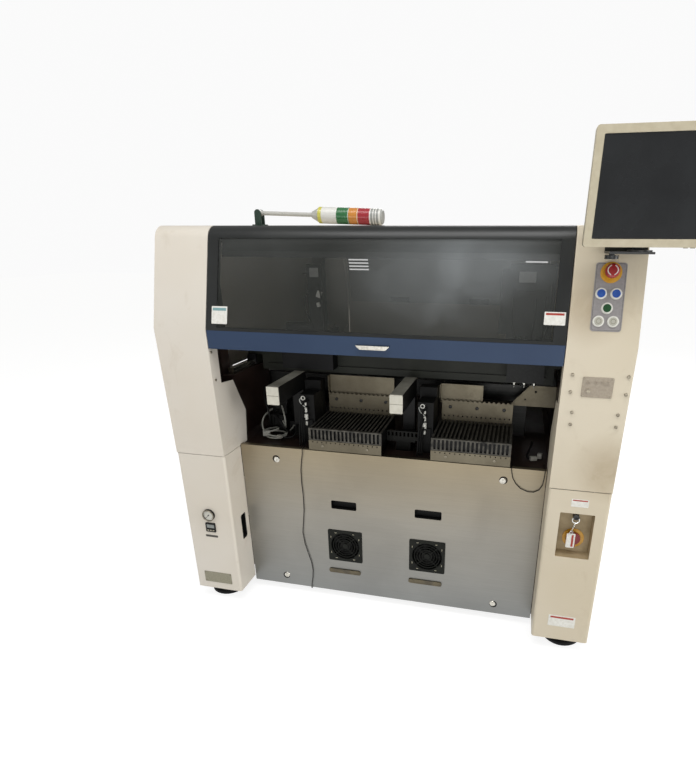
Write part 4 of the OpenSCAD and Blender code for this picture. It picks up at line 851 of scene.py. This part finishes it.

# ---- rear hood ----
# The rear hood is cream, drawn grey inside as painted shade, with black moulded grip cups.

hood_cream_and_inner_shade, tree, place = finish("Cream_coat_with_painted_inner_shade")
cloud = add(tree, "TexNoise", {"Vector": place, "Scale": 2.0, "Detail": 4.0})
outside = add(tree, "ValToRGB", {"Fac": cloud}, stops=[(0.3, "#DAD3C8"), (0.7, "#D0C7B6")])
# Painted shade: the inner faces are drawn grey.
inside = add(tree, "ValToRGB", {"Fac": cloud}, stops=[(0.3, "#9A9D9A"), (0.7, "#B0B3B0")])
facing = add(tree, "SeparateXYZ", {"Vector": add(tree, "NewGeometry").outputs["Normal"]})
inner = add(tree, "Math", {0: facing.outputs["Y"], 1: -0.4}, operation="LESS_THAN")
tone = add(tree, "MixRGB", {"Fac": inner, "Color1": outside, "Color2": inside})
shade(tree, Base_Color=tone, Roughness=0.48, IOR=1.5)
hood = eased("rear_hood", hood_cream_and_inner_shade, 0.001, "back_hood")
hood.data.materials.append(abs_black)
cups = [(at(x, 0, 0).x, 1.130) for x in (-283, 218)]
for face in hood.data.polygons:
    if any(abs(face.center.x - x) < 0.0602 and abs(face.center.z - z) < 0.0262 for x, z in cups) \
            and face.center.y < at(0, 1664.3, 0).y:
        face.material_index = 1

# ---- operator controls ----
# A grey foil plate with round corners carries the emergency stop over its yellow collar, and
# five push-buttons in white bezels. Their places for words are bare.

plate_foil = foil("Grey_polyester_foil", "#959191", "#898585")
eased("operator_plate", plate_foil, 0.0006)
eased("service_plate", foil("Grey_etched_plate", "#A39785", "#908474"), 0.0005)
dress(moulded("Yellow_polycarbonate", "#C6902A", "#D29F38"), "yellow_collars")
dress(white_plastic, "button_bezels")
dress(moulded("Blue_polycarbonate", "#1F4796", "#2C57A6"), "blue_button_left", "blue_button_right")
dress(moulded("Green_polycarbonate", "#15401F", "#1F522D"), "green_button")

# A thin dark line is printed round the plate, just inside its edge.
low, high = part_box("operator_plate")
deep, tall = high.y - low.y, high.z - low.z
spread = math.cos(lean) ** 2 - math.sin(lean) ** 2
face_h = (tall * math.cos(lean) - deep * math.sin(lean)) / spread
face_t = (deep * math.cos(lean) - tall * math.sin(lean)) / spread
outward = Vector((0, -math.cos(lean), math.sin(lean)))
border = slab((high.x - low.x - 0.006, face_h - 0.006, 0.0002), (low + high) / 2 + outward * face_t / 2,
              lean_turn, corner=0.008, edge=0.00005)
border.data.materials.append(bolt_black)
field = slab((high.x - low.x - 0.0076, face_h - 0.0076, 0.0002),
             (low + high) / 2 + outward * (face_t / 2 + 0.00008), lean_turn, corner=0.0074,
             edge=0.00005)
field.data.materials.append(plate_foil)
finished(joined([border, field]), "plate_border_line")


def from_axis(tree, place, node):
    """How far a point of a button is from its axis, and its place across the button."""
    low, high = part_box(node)
    back = Matrix.Rotation(lean - math.pi / 2, 3, "X")
    flat = add(tree, "Mapping", {"Vector": place, "Rotation": (lean - math.pi / 2, 0, 0),
                                 "Location": -(back @ ((low + high) / 2))})
    disc = add(tree, "VectorMath", {0: flat, 1: (1, 1, 0)}, operation="MULTIPLY")
    return add(tree, "VectorMath", {0: disc}, operation="LENGTH").outputs["Value"], flat


# Red polyamide, glossy, with two white printed arcs near the head's edge.
red_head, tree, place = finish("Red_polyamide_with_arcs")
flow = add(tree, "TexNoise", {"Vector": place, "Scale": 60.0, "Detail": 3.0})
red_tone = add(tree, "ValToRGB", {"Fac": flow}, stops=[(0.3, "#8B1B1F"), (0.7, "#A12626")])
radius, flat = from_axis(tree, place, "stop_button")
line = add(tree, "Math", {0: radius, 1: 0.0142, 2: 0.0014}, operation="COMPARE")
aside = add(tree, "Math", {0: add(tree, "SeparateXYZ", {"Vector": flat})}, operation="ABSOLUTE")
split = add(tree, "Math", {0: aside, 1: 0.0045}, operation="GREATER_THAN")
arcs = add(tree, "Math", {0: line, 1: split}, operation="MULTIPLY")
tone = add(tree, "MixRGB", {"Fac": arcs, "Color1": red_tone, "Color2": linear("#D8D2CC")})
shade(tree, Base_Color=tone, Roughness=0.28, IOR=1.55)
dress(red_head, "stop_button")

# Clear caps over grey diffusers: pale, with a moulded ring.
for name in ("clear_button_left", "clear_button_right"):
    clear, tree, place = finish("Clear_cap_on_diffuser")
    radius, flat = from_axis(tree, place, name)
    line = add(tree, "Math", {0: radius, 1: 0.0068, 2: 0.0009}, operation="COMPARE")
    tone = add(tree, "MixRGB", {"Fac": line, "Color1": linear("#AFADA0"), "Color2": linear("#858378")})
    shade(tree, Base_Color=tone, Roughness=0.2, IOR=1.58, Coat_Weight=0.4)
    dress(clear, name)
corners = [(on_front(725 + x, 1065 + z, 2), front_turn) for x in (-42, 42) for z in (-28, 28)]
screws("service_plate_screws", 0.006, 0.002, corners)

# ---- main switch ----
# In a folded recess a red rotary handle turns on a yellow disc. A chromed padlock ring and a
# bead chain carry a bare white tag with a red stripe.

# The recess is drawn in a darker brownish cream than the covers: painted shade inside it.
dress(clouded("Cream_recess_with_painted_shade", 22.0, 6.0, [(0.3, "#B3A181"), (0.7, "#92805E")], Roughness=0.6,
              IOR=1.5), "switch_box")
eased("switch_handle", moulded("Red_polyamide", "#7A1315", "#8E1D1C", 0.3),
      body="main_switch")

chrome = clouded("Chrome_plate", 140.0, 3.0, [(0.3, "#DFDEDA"), (0.7, "#C3C2BD")], Metallic=1.0,
                 Roughness=0.12)
links = [ring(0.024, 0.0056, at(724, 26, 572), plumb_turn),
         ring(0.013, 0.0026, at(713.5, 18.5, 524), (math.pi / 2, 0, 0.5))]
for k in range(5):
    bpy.ops.mesh.primitive_uv_sphere_add(segments=16, ring_count=8, radius=0.0036 - 0.0003 * k,
                                         location=at(722 - 2.2 * k, 22 - k * 0.6, 557 - 7.5 * k))
    links.append(sunk(bpy.context.object, lambda face: abs(face.normal.z) > 0.95, (0.0004, 0.0008)))
finished(joined(links), "tag_chain", chrome)
stud = sunk(drum(0.022, 0.032, at(724, 36, 584), plumb_turn, edge=0.002, sides=28), upper,
            (0.003, 0), (0.001, -0.003))
finished(stud, "lock_stud", bolt_black)
tag_turn = (math.pi / 2, 0, 0.05)
tag = slab((0.030, 0.058, 0.0012), at(714, 18, 491), tag_turn, corner=0.004, edge=0.0003)
tag.data.materials.append(white_foil)
stripe = slab((0.007, 0.048, 0.0004), at(720, 17.2, 491), tag_turn, edge=0.0001)
stripe.data.materials.append(red_foil)
finished(joined([tag, stripe]), "bare_tag")

# ---- air unit ----
# A pressure gauge and a digital pressure switch sit on the left column, with a dark bare
# strip under them. The gauge has a white dial under a zinc-plated rim.

dress(abs_black, "pressure_unit", "gauge_needle")
dial_white = foil("White_enamelled_dial", "#DAD8CF", "#CECCC2", 0.3)
dial = sunk(drum(0.0444, 0.0006, at(-721, -7.05, 429), plumb_turn, edge=0.0001, sides=48), upper,
            (0.002, 0), (0.0002, -0.0001))
finished(dial, "gauge_dial", dial_white)
ticks = []
for k in range(28):
    turn = math.radians(225 - k * 10)
    reach, size = (18.2, (0.0040, 0.0008, 0.0002)) if k % 3 == 0 else (19.0, (0.0024, 0.0005, 0.0002))
    ticks.append(slab(size, at(-721 + reach * math.cos(turn), -7.5, 429 + reach * math.sin(turn)),
                      (math.pi / 2, -turn, 0), edge=0.00005))
finished(joined(ticks), "dial_ticks", bolt_black)
finished(ring(0.048, 0.0044, at(-721, -11.4, 429), plumb_turn), "gauge_rim", screw_zinc)
lcd = foil("Grey_display_glass", "#8B8F8C", "#777B78", 0.12)
finished(slab((0.034, 0.016, 0.0012), at(-721, -4.3, 376), plumb_turn, corner=0.001),
         "display_window", lcd)
keys = [slab((0.008, 0.004, 0.0016), at(-721 + x, -5.3, 357), plumb_turn, corner=0.001) for x in
        (-12, 0, 12)]
finished(joined(keys), "display_keys", clip_cream)
finished(slab((0.056, 0.010, 0.0010), at(-723, -0.4, 327), plumb_turn, corner=0.002),
         "bare_dark_strip", foil("Dark_foil_strip", "#4A473F", "#3A3832"))

# ---- monitor ----
# A flat screen in a beige moulded housing stands on a swivel over the right column.

housing = moulded("Beige_moulded_ABS", "#B5AB92", "#BFB69E", 0.5)
eased("monitor_housing", housing, 0.003, "monitor")
dress(clouded("Dark_monitor_glass", 8.0, 3.0, [(0.3, "#17181A"), (0.7, "#232527")], Roughness=0.12,
              IOR=1.52), "monitor_screen")
low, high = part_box("monitor_housing")
keys = [slab((0.011, 0.007, 0.004), Vector((high.x - 0.04 - 0.018 * k, low.y + 0.012, low.z)),
             corner=0.0015) for k in range(5)]
finished(joined(keys), "monitor_keys",
         foil("Grey_key_ABS", "#8F897B", "#80796C", 0.45), "monitor")
step_y = low.y + 0.058
vents = [slab((0.090, 0.004, 0.0014), Vector((x, step_y, high.z - 0.045 - 0.011 * k)), behind,
              corner=0.0018) for x in (low.x + 0.11, high.x - 0.11) for k in range(7)]
finished(joined(vents), "monitor_vents", abs_black, "monitor")

# ---- signal tower ----
# The tower lies folded on the roof: a pole in a green foot, a white body with a yellow ring,
# ribbed lenses and a grey-barred sounder at its end.

dress(clouded("Green_hammer_enamel", 220.0, 2.0, [(0.3, "#16281F"), (0.7, "#243B2F")],
              skin=(0.3, 0.0005), Roughness=0.4, IOR=1.5), "tower_foot")


def banded(name, first, last, bands, gloss_level, ribs):
    """Plastic in plain bands along X between two places, with fine ribs round it."""
    made, tree, place = finish(name)
    apart = add(tree, "SeparateXYZ", {"Vector": place})
    share = add(tree, "MapRange", {"Value": apart, "From Min": first, "From Max": last})
    tone = add(tree, "ValToRGB", {"Fac": share}, stops=bands)
    tone.color_ramp.interpolation = "CONSTANT"
    wave = add(tree, "TexWave", {"Vector": place, "Scale": 52.0}, bands_direction="X")
    ridge = add(tree, "Bump", {"Strength": ribs, "Distance": 0.001, "Height": wave})
    shade(tree, Base_Color=tone, Roughness=gloss_level, IOR=1.58, Normal=ridge)
    return made


low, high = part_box("tower_lenses")
dress(banded("Ribbed_polycarbonate_lenses", low.x, high.x,
             [(0.0, "#C9C35A"), (0.2, "#2C6A3C"), (0.6, "#C98437"), (0.78, "#9E2730")], 0.25, 0.35),
      "tower_lenses")
body_bands = [(0, "#B4B3AC"), (231, "#C8B53A"), (243, "#D9D8D2"), (421, "#8F908C"), (427, "#D9D8D2"),
              (431, "#8F908C"), (437, "#D9D8D2"), (441, "#8F908C"), (447, "#D9D8D2"), (454, "#A3A4A0")]
pivot, tip = at(-478, 0, 0).x, at(-17, 0, 0).x
dress(banded("White_tower_polycarbonate", pivot, tip, [(d / 461, c) for d, c in body_bands], 0.35,
             0.05), "tower_tube")
